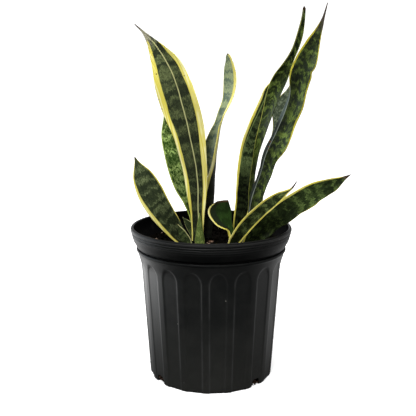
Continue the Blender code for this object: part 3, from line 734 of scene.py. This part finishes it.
sheath = {
    "spine": ((-18, -5, 160), (-18, -6, 214), (-18, -6, 240), (-18, -4, 262)),
    "left": (9, 6.4, 3.8, 0.8), "right": (9, 6.4, 3.8, 0.8), "spike": 2, "facing": (180, 180, 180),
    "roll": (50, 50, 40), "wave": (0, 1, 0, 0), "seed": 7, "marginLeft": (0.4, 0.4, 0.4, 0),
    "marginRight": (0.4, 0.4, 0.4, 0),
    "look": {"Dark": (0.085, 0.140, 0.020), "Light": (0.330, 0.420, 0.095), "Bands": 140, "Contrast": 0.9,
             "Patches": 0.9, "Patch Size": 420, "Dry": 0.0008, "Yellow": (0.40, 0.42, 0.10),
             "Cream": (0.45, 0.48, 0.16)},
}
makeLeaf("sheathLeaf", "leaf_07_sheath", sheath)

tallRight = {
    "spine": ((56, -1, 160), (62, 0, 220), (71.5, -1, 275), (89, -4, 329), (112, -9, 389), (128, -14, 433),
              (139.5, -18, 488), (151, -20, 522), (162.5, -22, 552), (170, -24, 579)),
    "left": (10, 11.2, 12.5, 13.8, 15, 16.2, 18.8, 19.7, 18, 16.6, 16.8, 16.4, 20.2, 18.4, 12.1, 5.8, 1.5),
    "right": (11, 12, 11.8, 10.6, 10.4, 12.6, 9.6, 21, 21.4, 18.2, 19.4, 17.6, 20.2, 20.5, 14.9, 7.4, 2),
    "spike": 20, "facing": (-50, -50, -50, -40, -28), "roll": (50, 35, 28, 25, 20),
    "wave": (1.4, 7, 0.4, 0.1), "seed": 8, "marginLeft": (-1, -1, -1, -1, -1, -1, 1, 3.2, 2.2, -2),
    "marginRight": (-1, -1, -1, -0.4, 2.6, 2.8, 2.2, 1.5, 0.5, -2),
    "nicks": ({"side": "right", "along": 334, "length": 9, "depth": 3.5},),
    "strip": (-1, 2, 4, 5, 5.2, 4.2, 0.5, -9, -9, -9),
    "tones": ((0.4, 0.4, 0.4, 0.35, 0.4, 0.5, 0.5), (0.6, 0.7, 1.1, 1.4, 1.0, 0.9, 0.5)),
    "look": olive | {"Bands": 120, "Patches": 0.97, "Contrast": 1.05, "Patch Size": 135, "Dry": 0.036,
                     "Yellow": (0.34, 0.29, 0.02), "Cream": (0.50, 0.47, 0.08),
                     "Back": (0.020, 0.025, 0.022), "Strip Colour": (0.080, 0.105, 0.098),
                     "Strip Line": 0.5, "Strip Top": 0.250, "Tip Colour": (0.055, 0.045, 0.035),
                     "Mark 1": (-0.0168, 0.2138, 0.0013), "Mark 2": (-0.0152, 0.2060, 0.0011),
                     "Mark 3": (-0.0138, 0.2011, 0.0010)},
}
makeLeaf("tallRightLeaf", "leaf_08_tall_right", tallRight)

slimRight = {
    "spine": ((56, 12, 160), (60, 20, 220), (64, 22, 265), (65.6, 22, 302), (75.4, 21, 362), (90, 18, 417),
              (101, 15, 456), (115, 11, 488), (128, 8, 518), (136.8, 5, 556), (139.3, 4, 576)),
    "left": (7, 7, 8, 10, 11.2, 11.4, 12.6, 12, 8, 7.2, 3.4),
    "right": (7, 7, 8, 10, 12, 14, 16, 14.2, 7, 6.8, 3.2),
    "spike": 3, "facing": (-60, -69, -77, -67, -40, 20, 40), "roll": (50, 35, 30, 30, 40, 70, 60),
    "wave": (0.6, 4, 0.4, 0.0), "seed": 9, "marginLeft": (1.2, 1.2, 1.2, 1.2, 1.2, 1, 1, 1, 1, 0.5, 0),
    "marginRight": (-1, -1, -1, -1, -1, -1, -1, 0, 0.5, 0.5, 0),
    "strip": (-9, -9, -9, -9, -9, -9, -9, -2, 3, 3.5, 2),
    "tones": ((0.6, 0.6, 0.8, 0.95, 1.0, 1.0), (0.6, 0.6, 0.7, 0.9, 1.0, 1.0)),
    "look": olive | {"Bands": 110, "Patches": 0.7, "Contrast": 0.95, "Patch Size": 190, "Vee": 0.7,
                     "Jag": 0.010, "Beat": 0.12, "Dry": 0.006, "Yellow": (0.30, 0.30, 0.05),
                     "Cream": (0.42, 0.42, 0.16), "Strip Line": 1, "Line Colour": (0.40, 0.42, 0.18)},
}
makeLeaf("slimRightLeaf", "leaf_09_slim_right", slimRight)

backRight = {
    "spine": ((37, 22, 160), (45, 32, 234), (54, 35, 278), (61, 37, 320), (67, 40, 362), (77, 43, 402),
              (89, 46, 438), (101, 48, 470)),
    "left": (9, 11, 13, 15.5, 18.5, 20.6, 22.3, 22.7, 22.1, 20, 16.9, 13.6, 11.2, 9.8, 1.5),
    "right": (8.5, 12, 13, 10.5, 9.5, 13.5, 12, 1), "spike": 3,
    "facing": (10, 14, 15, 10), "roll": (45, 30, 25, 25), "wave": (1.0, 3, 0.5, 0.0), "seed": 10,
    "marginLeft": (2, 2.5, 3, 4, 4.5, 4.5, 3, 0), "marginRight": (2, 2, 2, 2, 2, 2, 2, 0),
    "strip": (-9, -9, -9, 3, 7, 8, 7.5, 4),
    "tones": ((0.3, 0.2, 0.18, 0.9, 0.55, 0.45, 0.4), (0.3, 0.18, 0.12, 0.7, 0.45, 0.35, 0.3)),
    "look": {"Dark": (0.003, 0.008, 0.002), "Light": (0.130, 0.180, 0.065), "Bands": 150, "Patches": 0.45,
             "Contrast": 1.05, "Patch Size": 260, "Beat": 0.05, "Jag": 0.014, "Strip Line": 0.8,
             "Line Colour": (0.22, 0.30, 0.10), "Back": (0.004, 0.007, 0.003),
             "Strip Colour": (0.020, 0.030, 0.010)},
}
makeLeaf("backRightLeaf", "leaf_10_back_right", backRight)

greyRight = {
    "spine": ((69, 19, 160), (73, 30, 240), (84, 32, 308), (102, 33, 353), (114, 34, 385), (119, 35, 422),
              (124, 35, 458)),
    "left": (7, 8, 9, 9.5, 10, 11, 12, 13, 14, 15.2, 16.8, 19.6, 22.6, 14, 2),
    "right": (7, 8, 6, 6, 8, 11, 9.5, 1), "spike": 3,
    "facing": (-10, -10, -10, -10), "roll": (45, 30, 25, 25), "wave": (0.8, 2, 0.1, 0.0), "seed": 11,
    "marginLeft": (0.8, 0.8, 0.8, 0.8, 0.8, 0.8, 1, 0), "marginRight": (1, 1, 1, 1, 1, 1, 1, 0),
    # Dark and Light are painted far lighter than the leaf's own green: painted light for a leaf in the shade
    # of the leaves in front
    "look": {"Dark": (0.130, 0.175, 0.115), "Light": (0.640, 0.760, 0.480), "Bands": 150, "Patches": 0.95,
             "Contrast": 0.9, "Patch Size": 330, "Dull Back": 0.0},
}
makeLeaf("greyRightLeaf", "leaf_11_grey_right", greyRight)

lowRight = {
    "spine": ((54, -11, 160), (56, -14, 208), (70, -15, 232), (97, -18, 255), (126, -22, 277),
              (158, -25, 298), (184, -28, 311), (212, -30, 326)),
    "left": (10, 16, 19, 19, 18, 15.8, 10.4, 1.7),
    "right": (10, 13.2, 16, 17.9, 19, 18.5, 16.9, 18.3, 20.7, 17.8, 14.7, 15.8, 13.5, 6.8, 2), "spike": 6,
    "facing": (-10, 0, 0, 0), "roll": (45, 25, 18, 22), "wave": (1.4, 5, 0.3, 0.1), "seed": 12,
    "marginLeft": (3, 3.5, 4, 4, 3.5, 2.5, 2, 0), "marginRight": (-1, -1, -0.5, 0.6, 0.8, 0.8, 0.5, 0),
    "tones": ((0.25, 0.3, 0.5, 0.8, 0.75, 0.35), (0.2, 0.3, 0.6, 0.95, 0.8, 0.4)),
    "look": {"Dark": (0.010, 0.018, 0.005), "Light": (0.120, 0.180, 0.048), "Bands": 100, "Patches": 0.75,
             "Contrast": 0.9, "Patch Size": 190, "Mark 1": (-0.0138, 0.1686, 0.0014),
             "Dry": 0.012, "Yellow": (0.56, 0.50, 0.06)},
}
makeLeaf("lowRightLeaf", "leaf_12_low_right", lowRight)

frontRight = {
    "spine": ((34, -17, 160), (33, -27, 212), (40, -33, 230), (55, -40, 252), (76, -48, 275), (97, -54, 293),
              (112, -58, 304), (120.2, -60, 310.5), (126.4, -61, 320.6)),
    "left": (8.8, 10, 11, 11.2, 11, 10.6, 7.8, 1.8), "right": (8.8, 10, 11, 11, 10.5, 9.4, 6.6, 1.6),
    "spike": 15, "facing": (0, 5, 5, 0), "roll": (45, 35, 30, 35), "wave": (0.5, 3, 0.6, 0.0), "seed": 13,
    "marginLeft": (2.4, 2.8, 3, 3, 3, 2.6, 2, 0), "marginRight": (2, 2, 2.2, 2.2, 2, 1.8, 1.4, 0),
    "tones": ((0.35, 0.5, 0.9, 1.1, 1.1), (0.35, 0.5, 0.9, 1.1, 1.1)),
    "look": {"Dark": (0.008, 0.013, 0.004), "Light": (0.140, 0.190, 0.060), "Bands": 100, "Patches": 0.8,
             "Contrast": 0.85, "Patch Size": 220, "Dry": 0.014, "Tip Colour": (0.07, 0.05, 0.045)},
}
makeLeaf("frontRightLeaf", "leaf_13_front_right", frontRight)

cutShort = {
    "spine": ((35, 1, 160), (31, -3, 214), (28.5, -4, 232), (21, -7, 255), (20, -9, 282.5)),
    "left": (3, 3, 3.6, 6, 13, 20.5, 26.5, 31, 32, 27, 14), "right": (8, 8, 8.6, 11.5, 11, 7), "spike": 0,
    "facing": (60, 55, 40, 20, 10), "roll": (110, 110, 100, 60, 40), "wave": (0, 1, 0, 0), "seed": 14,
    "marginLeft": (4, 4, 4, 4.2, 4.2, 3.5), "marginRight": (0.6, 0, -1, -1, -1, -1), "columns": 31,
    "strip": (2, 3, 6, 10, 14, 17, 17, 16, 14), "tones": ((0.9, 0.7, 0.45, 0.3), (1.1, 0.8, 0.45, 0.25)),
    "look": {"Dark": (0.024, 0.055, 0.012), "Light": (0.070, 0.160, 0.032), "Bands": 60, "Contrast": 0.6,
             "Dry": 0.003, "Back": (0.004, 0.006, 0.003), "Strip Colour": (0.014, 0.022, 0.010)},
}
makeLeaf("cutShortLeaf", "leaf_14_cut_short", cutShort)
print("leaves made")


# Pot

pot = {
    "height": 241, "rim": 127, "foot": 98, "footInset": 1.6, "footRound": 3, "wall": 1.8, "floor": 2.4,
    "bodyTop": 176, "bodyTopRadius": 110, "shoulder": 9, "shoulderSpread": 1.2, "shoulderSteps": 12,
    # the rim's two sides, each point as (how far in from the rim's radius, how far below the top)
    "outside": ((2.6, 0), (1.5, 0.5), (0.8, 1.5), (0.2, 2.7), (0.0, 4.0), (0.4, 5.8), (1.5, 6.7), (2.2, 7.0),
                (1.9, 7.6), (1.2, 8.6), (1.2, 9.4), (1.4, 10.0), (2.5, 10.9), (2.8, 11.4), (2.5, 12.1),
                (2.4, 13.5), (3.1, 16.3), (4.7, 21.2), (7.6, 26.0), (8.6, 28.6), (9.2, 29.6), (10.0, 30.2),
                (12.2, 31.4), (12.6, 32.0), (12.2, 32.6), (9.7, 33.6), (9.2, 34.4), (8.9, 35.4),
                (9.0, 36.4), (9.8, 37.6), (10.6, 38.6), (11.3, 40.2), (12.4, 44.5)),
    "inside": ((14.8, 33.5), (12.4, 29.5), (9.8, 25.5), (6.9, 20.5), (5.2, 15.0), (4.8, 10.0), (4.6, 5.0),
               (4.8, 1.2), (4.3, 0.3), (3.6, 0.0)),
    # flat panels with arched heads; turn is the first one's angle from the front, slope its soft edge
    "panels": 18, "turn": 5.4, "depth": 1.5, "halfWidth": 13.0, "footShare": 0.88, "slope": 1.5,
    "head": 172.5, "arch": 20, "panelsBelow": 200, "stepsPerPanel": 26, "wallRings": 46,
    # width and fade of the painted highlight along the panels' edges
    "crestWidth": 0.9, "crestFade": 4, "rimFrom": 203,
    "nubHeight": 15, "nubSize": 1.2, "nubFlat": 0.5,
    "drains": (-3, 2, 6, 11), "drainWidth": 20, "drainHeight": 12, "drainReach": 12, "drainProud": 8,
    "drainTopShare": 0.7, "drainBelow": 2, "drainRound": 3.5,
}


def potWall(height):
    return between(pot["foot"], pot["bodyTopRadius"], height / pot["bodyTop"])


def potOutline():
    # (radius, height) points from the middle of the floor up the inside and down the outside
    lining = pot["depth"] + pot["wall"]
    points = [(0, pot["floor"]), (potWall(0) - lining - pot["footInset"], pot["floor"])]
    points += [(potWall(height) - lining, height) for height in (5, 60, 120, pot["bodyTop"])]
    points += [(pot["rim"] - inset, pot["height"] - drop) for inset, drop in pot["inside"] + pot["outside"]]
    low, high = (potWall(pot["bodyTop"]), pot["bodyTop"]), points[-1]
    shoulder = [low, (low[0] + pot["shoulderSpread"], low[1] + pot["shoulder"]), high]
    steps, rings = pot["shoulderSteps"], pot["wallRings"]
    points += [tuple(runThrough(shoulder, 1 - step / steps)) for step in range(1, steps)]
    for ring in range(rings + 1):
        height = between(pot["bodyTop"], pot["footRound"], ring / rings)
        points.append((potWall(height), height))
    points += [(potWall(0) - 0.5, 1.0), (potWall(0) - pot["footInset"], 0), (0, 0)]
    return points


def fluteDepth(x, height):
    # how deep a flat panel goes at x millimetres from its middle line
    width = pot["halfWidth"] * between(pot["footShare"], 1.0, held(height / pot["head"]))
    if height <= pot["head"]:
        inside = width - abs(x)
    else:
        inside = (1 - math.hypot(x / width, (height - pot["head"]) / pot["arch"])) * width
    flat = pot["depth"] - x ** 2 / (2 * potWall(height))
    return flat * eased(inside / pot["slope"] + 0.5), inside


def pressPanels(body, crest):
    # pushes the panels in; the edge mask marks their edges for a painted highlight, most on the side nearer
    # the front
    cell = math.tau / pot["panels"]
    first = math.radians(pot["turn"])
    for corner in body.verts:
        height = corner.co.z / mm
        radius = math.hypot(corner.co.x, corner.co.y) / mm
        if height > pot["panelsBelow"] or radius < potWall(height) - pot["wall"] - 1:
            continue
        angle = math.atan2(corner.co.x, -corner.co.y) - first
        local = (angle + cell / 2) % cell - cell / 2
        aside = local * potWall(height)
        depth, inside = fluteDepth(aside, height)
        corner.co.x *= (radius - depth) / radius
        corner.co.y *= (radius - depth) / radius
        middle = (angle - local + first + math.pi) % math.tau - math.pi
        forward = held(0.5 - aside * math.sin(middle) / pot["crestFade"])
        corner[crest] = forward * math.exp(-((inside + 0.2) / pot["crestWidth"]) ** 2)


def makePot(material):
    body = bmesh.new()
    crest = body.verts.layers.float.new("crest")
    turnOutline(body, potOutline(), pot["panels"] * pot["stepsPerPanel"])
    pressPanels(body, crest)
    bmesh.ops.recalc_face_normals(body, faces=body.faces)
    for face in body.faces:
        middle = face.calc_center_median()
        height = middle.z / mm
        inward = face.normal.x * middle.x + face.normal.y * middle.y < 0
        # inner faces and the floor inside take the inside plastic, painted darker as painted shade
        if pot["floor"] - 1 < height < pot["height"] - 2 and (inward or face.normal.z > 0.9):
            face.material_index = 1
        elif height > pot["rimFrom"] and not inward:
            face.material_index = 2
    piece = makePiece("nurseryPot", body, material, ["pot"])
    piece.data.materials.append(makeShadedInsidePlastic())
    piece.data.materials.append(makePotPlastic("rimPlastic", plastic["rimGloss"]))
    cutDrains(piece)


def cutDrains(piece):
    outerRadius, innerRadius = pot["foot"] + pot["drainProud"], pot["foot"] - pot["drainReach"]
    cutters = bmesh.new()
    for index in pot["drains"]:
        turn = math.radians(pot["turn"] + index * 360 / pot["panels"])
        made = bmesh.ops.create_cube(cutters, size=1)["verts"]
        for corner in made:
            top, outer = corner.co.z > 0, corner.co.y < 0
            x = corner.co.x * pot["drainWidth"] * (pot["drainTopShare"] if top else 1.0)
            where = Vector((x, -outerRadius if outer else -innerRadius,
                            pot["drainHeight"] if top else -pot["drainBelow"]))
            corner.co = Matrix.Rotation(turn, 3, "Z") @ where * mm
        # round the two upper edges that run inwards
        sides = {edge for corner in made for edge in corner.link_edges}
        upper = [edge for edge in sides if all(end.co.z > 0 for end in edge.verts)
                 and abs(edge.calc_length() / mm - (outerRadius - innerRadius)) < 1]
        bmesh.ops.bevel(cutters, geom=upper, offset=pot["drainRound"] * mm, segments=4, profile=0.5,
                        affect="EDGES", material=-1)
    bmesh.ops.recalc_face_normals(cutters, faces=cutters.faces)
    mesh = bpy.data.meshes.new("drainCutters")
    cutters.to_mesh(mesh)
    cutters.free()
    tool = bpy.data.objects.new("drainCutters", mesh)
    bpy.context.scene.collection.objects.link(tool)
    cut = piece.modifiers.new("drains", "BOOLEAN")
    cut.operation = "DIFFERENCE"
    cut.object = tool
    cut.solver = "EXACT"
    seen = piece.evaluated_get(bpy.context.evaluated_depsgraph_get())
    done = bpy.data.meshes.new_from_object(seen)
    piece.modifiers.clear()
    piece.data = done
    bpy.data.objects.remove(tool)
    piece.data.shade_smooth()
    piece.data.set_sharp_from_angle(angle=math.radians(50))


plastic = {
    # dusty is the colour of dust, and low on the pot also of painted bounce light from the floor
    "black": (0.0038, 0.0044, 0.0043), "dusty": (0.0200, 0.0205, 0.0185), "dustTop": 160,
    "fleck": (0.32, 0.30, 0.27), "fleckSize": 0.035, "fleckShare": 0.05,
    "crumb": (0.20, 0.19, 0.17), "crumbs": (((21.1, -104.6, 150), 1.4), ((-49.5, -91.7, 110), 1.2)),
    # heights on the rim, each a pair from where a tone starts to where it is full. The rim's tones are
    # painted shade on the collar and the lip's crown and painted highlights on the turned rings and the lip's
    # side; the last colour is the panels' painted edge highlight
    "collarFoot": (209, 213), "collarTop": (227, 230), "collar": (0.0010, 0.0011, 0.0011),
    "paleFrom": (217, 229), "pale": (0.0150, 0.0155, 0.0150), "groovesFrom": (212, 216),
    "lipFoot": (232.5, 234.5), "lipTop": (238.2, 239.6), "lipSide": (0.0190, 0.0195, 0.0190),
    "lipCrown": (0.0006, 0.0007, 0.0006), "worn": (0.052, 0.053, 0.053),
    "paleRings": 1700, "grooves": 3300,         # radians in a metre of height
    "bump": 0.06, "gloss": 0.22, "rimGloss": 0.06,
}


def makePotPlastic(name, gloss):
    # black plastic, lighter low down with dust and with painted bounce light from the floor, and with a
    # painted highlight on the panels' edges. The rim has painted shade on its collar, painted highlights on
    # faint turned rings that grow paler upwards, and painted shade on the crown of a lip with a painted
    # highlight on its side
    material, tree, shader = startMaterial(name)
    spot = wires(tree, "ShaderNodeTexCoord")["Object"]
    x, y, z = parted(spot)

    def above(heights, start=0.0, end=1.0):
        return ramp(z, heights[0] * mm, heights[1] * mm, start, end)

    cloudy = cloud(spot, scale=34, detail=3, roughness=0.6)
    # lighter low down: random dust, and painted bounce light from the floor that fades out upwards
    dustAndBounce = ramp(cloudy, 0.35, 0.7) * 0.25 + above((0, plastic["dustTop"]), 0.8, 0.0)
    colour = blendColours(dustAndBounce, plastic["black"], plastic["dusty"])
    flecks, _ = useGroup(tree, spots, {"Vector": joined(x * 75, y * 75, z * 75), "Size": plastic["fleckSize"],
                                       "Share": plastic["fleckShare"]})
    colour = blendColours(flecks * 0.7, colour, plastic["fleck"])
    for where, size in plastic["crumbs"]:
        gap = gapBetween(spot, [value * mm for value in where])
        colour = blendColours(ramp(gap, size * mm * 0.6, size * mm, 0.8, 0.0), colour, plastic["crumb"])

    # painted shade on the collar under the lip, painted highlights on the turned rings and on the lip's side,
    # painted shade on the lip's crown
    collar = above(plastic["collarFoot"]) * above(plastic["collarTop"], 1.0, 0.0)
    colour = blendColours(collar * 0.45, colour, plastic["collar"])
    rings = (cloudy * 2.0 + z * plastic["paleRings"]).calc("SINE")
    pale = above(plastic["paleFrom"]) * ramp(rings, -0.4, 0.7, 0.2, 1.0)
    colour = blendColours(pale, colour, plastic["pale"])
    lipSide = above(plastic["lipFoot"]) * above(plastic["lipTop"], 1.0, 0.0)
    colour = blendColours(lipSide, colour, plastic["lipSide"])
    colour = blendColours(above(plastic["lipTop"]), colour, plastic["lipCrown"])
    # painted highlight along the panels' edges, patchy, strongest on the side nearer the front
    worn = ramp(cloud(spot, scale=22, detail=2), 0.35, 0.6, 0.25, 0.8) * readAttribute(tree, "crest")[0]
    colour = blendColours(worn, colour, plastic["worn"])

    drawn = cloud(joined(x * 210, y * 210, z * 9), detail=2)
    fine = cloud(spot, scale=900, detail=2)
    grooves = (cloudy * 3.0 + z * plastic["grooves"]).calc("SINE") * above(plastic["groovesFrom"])
    feed(shader["Base Color"], colour)
    feed(shader["Roughness"], cloudy * 0.14 + 0.33 + drawn * 0.10)
    shader["Specular IOR Level"].default_value = gloss
    addBump(shader, fine + grooves * 1.2 + drawn * 1.6, plastic["bump"] * mm)
    return material


def makeShadedInsidePlastic():
    # the sheltered inner side, painted darker than the outside as painted shade, dull and nearly black
    material, tree, shader = startMaterial("insidePlastic")
    spot = wires(tree, "ShaderNodeTexCoord")["Object"]
    cloudy = cloud(spot, scale=60, detail=4, roughness=0.65)
    dusty = ramp(cloudy, 0.5, 0.7)
    feed(shader["Base Color"], blendColours(dusty, (0.0010, 0.0010, 0.0010), (0.0060, 0.0056, 0.0050)))
    feed(shader["Roughness"], ramp(cloudy, 0.3, 0.7, 0.55, 0.8))
    shader["Specular IOR Level"].default_value = 0.015
    addBump(shader, cloudy, 0.0003)
    return material


def makeNubs(material):
    # small round nubs low on the ribs between the panels
    body = bmesh.new()
    for rib in range(pot["panels"]):
        turn = math.radians(pot["turn"] + (rib + 0.5) * 360 / pot["panels"])
        where = Matrix.Translation(Vector((0, -potWall(pot["nubHeight"]), pot["nubHeight"])) * mm)
        matrix = Matrix.Rotation(turn, 4, "Z") @ where @ Matrix.Diagonal((1, pot["nubFlat"], 1, 1))
        bmesh.ops.create_icosphere(body, subdivisions=2, radius=pot["nubSize"] * mm, matrix=matrix)
    makePiece("potNubs", body, material)


potPlastic = makePotPlastic("blackPotPlastic", plastic["gloss"])
makePot(potPlastic)
makeNubs(potPlastic)
print("pot made")


# Soil, with crumbs and bark on top

soil = {
    "level": 213.5, "topRadius": 114.5, "steps": 176, "rings": 44, "bump": 3, "bumps": 28, "rough": 1.6,
    "sunk": 0.4, "gap": 0.4, "base": 2.8, "baseInset": 2.2,         # clear of the pot's wall and floor
    "edgeWidth": 5, "edgeDrop": 2.5,            # the top falls off at the wall
    "crumbs": 620, "crumbSizes": (0.9, 1.2, 1.5, 1.9, 2.6), "seed": 5,
    "chips": 30, "frontChips": ((10, -72, 5.5), (17, -66, 3.5), (78, -32, 5.0), (70, -40, 3.0)),
    "drainClods": 34, "clodTurn": 4.6, "clodReach": (88, 96), "clodSize": (1.2, 2.4),
    "clodHeight": (2.6, 9.5),
}


def soilHeight(x, y):
    # millimetres above the floor at a point of the top, x and y in millimetres
    broad = noise.noise(Vector((x, y, 0)) * mm * soil["bumps"]) * soil["bump"]
    fine = noise.noise(Vector((x, y, 40)) * 0.16) * soil["rough"]
    small = noise.noise(Vector((x, y, 80)) * 0.45) * soil["rough"] * 0.5
    return soil["level"] + broad + fine + small - soil["sunk"]


def makeSoilMaterial(name, dark, light, scale, gloss=0.05):
    # lumps with pale grains on them; scale is how many lumps there are in a metre
    material, tree, shader = startMaterial(name)
    spot = wires(tree, "ShaderNodeTexCoord")["Object"]
    lumps = cloud(spot, scale=scale, detail=4, roughness=0.65)
    fine = cloud(spot, scale=scale * 7, detail=2)
    colour = blendColours(ramp(lumps, 0.40, 0.68), dark, light)
    feed(shader["Base Color"], blendColours(ramp(fine, 0.62, 0.72, 0.0, 0.6), colour, light))
    feed(shader["Roughness"], ramp(lumps, 0.3, 0.7, 0.98, 0.80))
    shader["Specular IOR Level"].default_value = gloss
    addBump(shader, lumps + fine * 0.5, 0.0012)
    return material


def addLump(body, x, y, size, flat, draw, lift=0.3, height=None):
    # a clod that lies on the soil, or at a stated height
    turn = Matrix.Rotation(draw.uniform(0, math.tau), 4, "Z")
    turn = turn @ Matrix.Rotation(draw.uniform(-0.6, 0.6), 4, "X")
    stretch = Matrix.Diagonal((draw.uniform(0.8, 1.5), draw.uniform(0.7, 1.1), flat, 1))
    level = soilHeight(x, y) + size * lift if height is None else height
    where = Matrix.Translation(Vector((x, y, level)) * mm)
    made = bmesh.ops.create_icosphere(body, subdivisions=1, radius=size * mm, matrix=where @ turn @ stretch)
    for corner in made["verts"]:
        corner.co += Vector([draw.uniform(-0.22, 0.22) * size * mm for _ in range(3)])


def addCrumbs(body):
    draw = random.Random(soil["seed"])
    for _ in range(soil["crumbs"]):
        turn, reach = draw.uniform(0, math.tau), math.sqrt(draw.random()) * (soil["topRadius"] - 6)
        size = draw.choice(soil["crumbSizes"])
        addLump(body, reach * math.cos(turn), reach * math.sin(turn), size, draw.uniform(0.6, 0.95), draw)


def makeSoil():
    lining = pot["depth"] + pot["wall"]
    top = soil["topRadius"]
    outline = [(top * ring / soil["rings"], soil["level"]) for ring in range(soil["rings"] + 1)]
    outline += [(potWall(height) - lining - soil["gap"], height) for height in (176, 140, 100, 60, 20, 8)]
    outline += [(potWall(3) - lining - soil["baseInset"], soil["base"]), (0, soil["base"])]
    body = bmesh.new()
    turnOutline(body, outline, soil["steps"])
    for corner in body.verts:
        if corner.co.z > (soil["level"] - 0.1) * mm:
            x, y = corner.co.x / mm, corner.co.y / mm
            edge = eased((top - math.hypot(x, y)) / soil["edgeWidth"])
            corner.co.z = between(soil["level"] - soil["edgeDrop"], soilHeight(x, y), edge) * mm
    bmesh.ops.recalc_face_normals(body, faces=body.faces)
    addCrumbs(body)
    # the mix is painted near black: painted shade for soil deep inside the pot
    material = makeSoilMaterial("pottingMix", (0.0006, 0.0005, 0.0003), (0.0036, 0.0027, 0.0016), 420, 0.01)
    makePiece("pottingSoil", body, material, ["soil"])


def makeClods():
    # soil and root ends that fill the drain holes
    draw = random.Random(soil["seed"] + 2)
    body = bmesh.new()
    for index in pot["drains"]:
        for _ in range(soil["drainClods"]):
            aside = draw.uniform(-soil["clodTurn"], soil["clodTurn"])
            turn = math.radians(pot["turn"] + index * 360 / pot["panels"] + aside)
            reach = draw.uniform(*soil["clodReach"])
            addLump(body, reach * math.sin(turn), -reach * math.cos(turn), draw.uniform(*soil["clodSize"]),
                    0.8, draw, height=draw.uniform(*soil["clodHeight"]))
    material = makeSoilMaterial("rootClods", (0.006, 0.003, 0.002), (0.095, 0.056, 0.038), 330)
    makePiece("rootClods", body, material)


def makeChips():
    # bark: the chips seen at the front, and others strewn over the top
    draw = random.Random(soil["seed"] + 1)
    body = bmesh.new()
    placed = list(soil["frontChips"])
    for _ in range(soil["chips"]):
        turn, reach = draw.uniform(0, math.tau), math.sqrt(draw.random()) * (soil["topRadius"] - 12)
        placed.append((reach * math.cos(turn), reach * math.sin(turn), draw.uniform(2.2, 4.6)))
    for x, y, size in placed:
        addLump(body, x, y, size, draw.uniform(0.28, 0.45), draw, lift=0.25)
    material = makeSoilMaterial("barkChips", (0.060, 0.030, 0.016), (0.42, 0.30, 0.23), 150)
    makePiece("barkChips", body, material)


makeSoil()
makeClods()
makeChips()
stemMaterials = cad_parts["creeping_stem"].data.materials
stemMaterials.clear()
stemMaterials.append(makeSoilMaterial("stemFlesh", (0.33, 0.22, 0.09), (0.55, 0.42, 0.20), 60))
print("soil made")
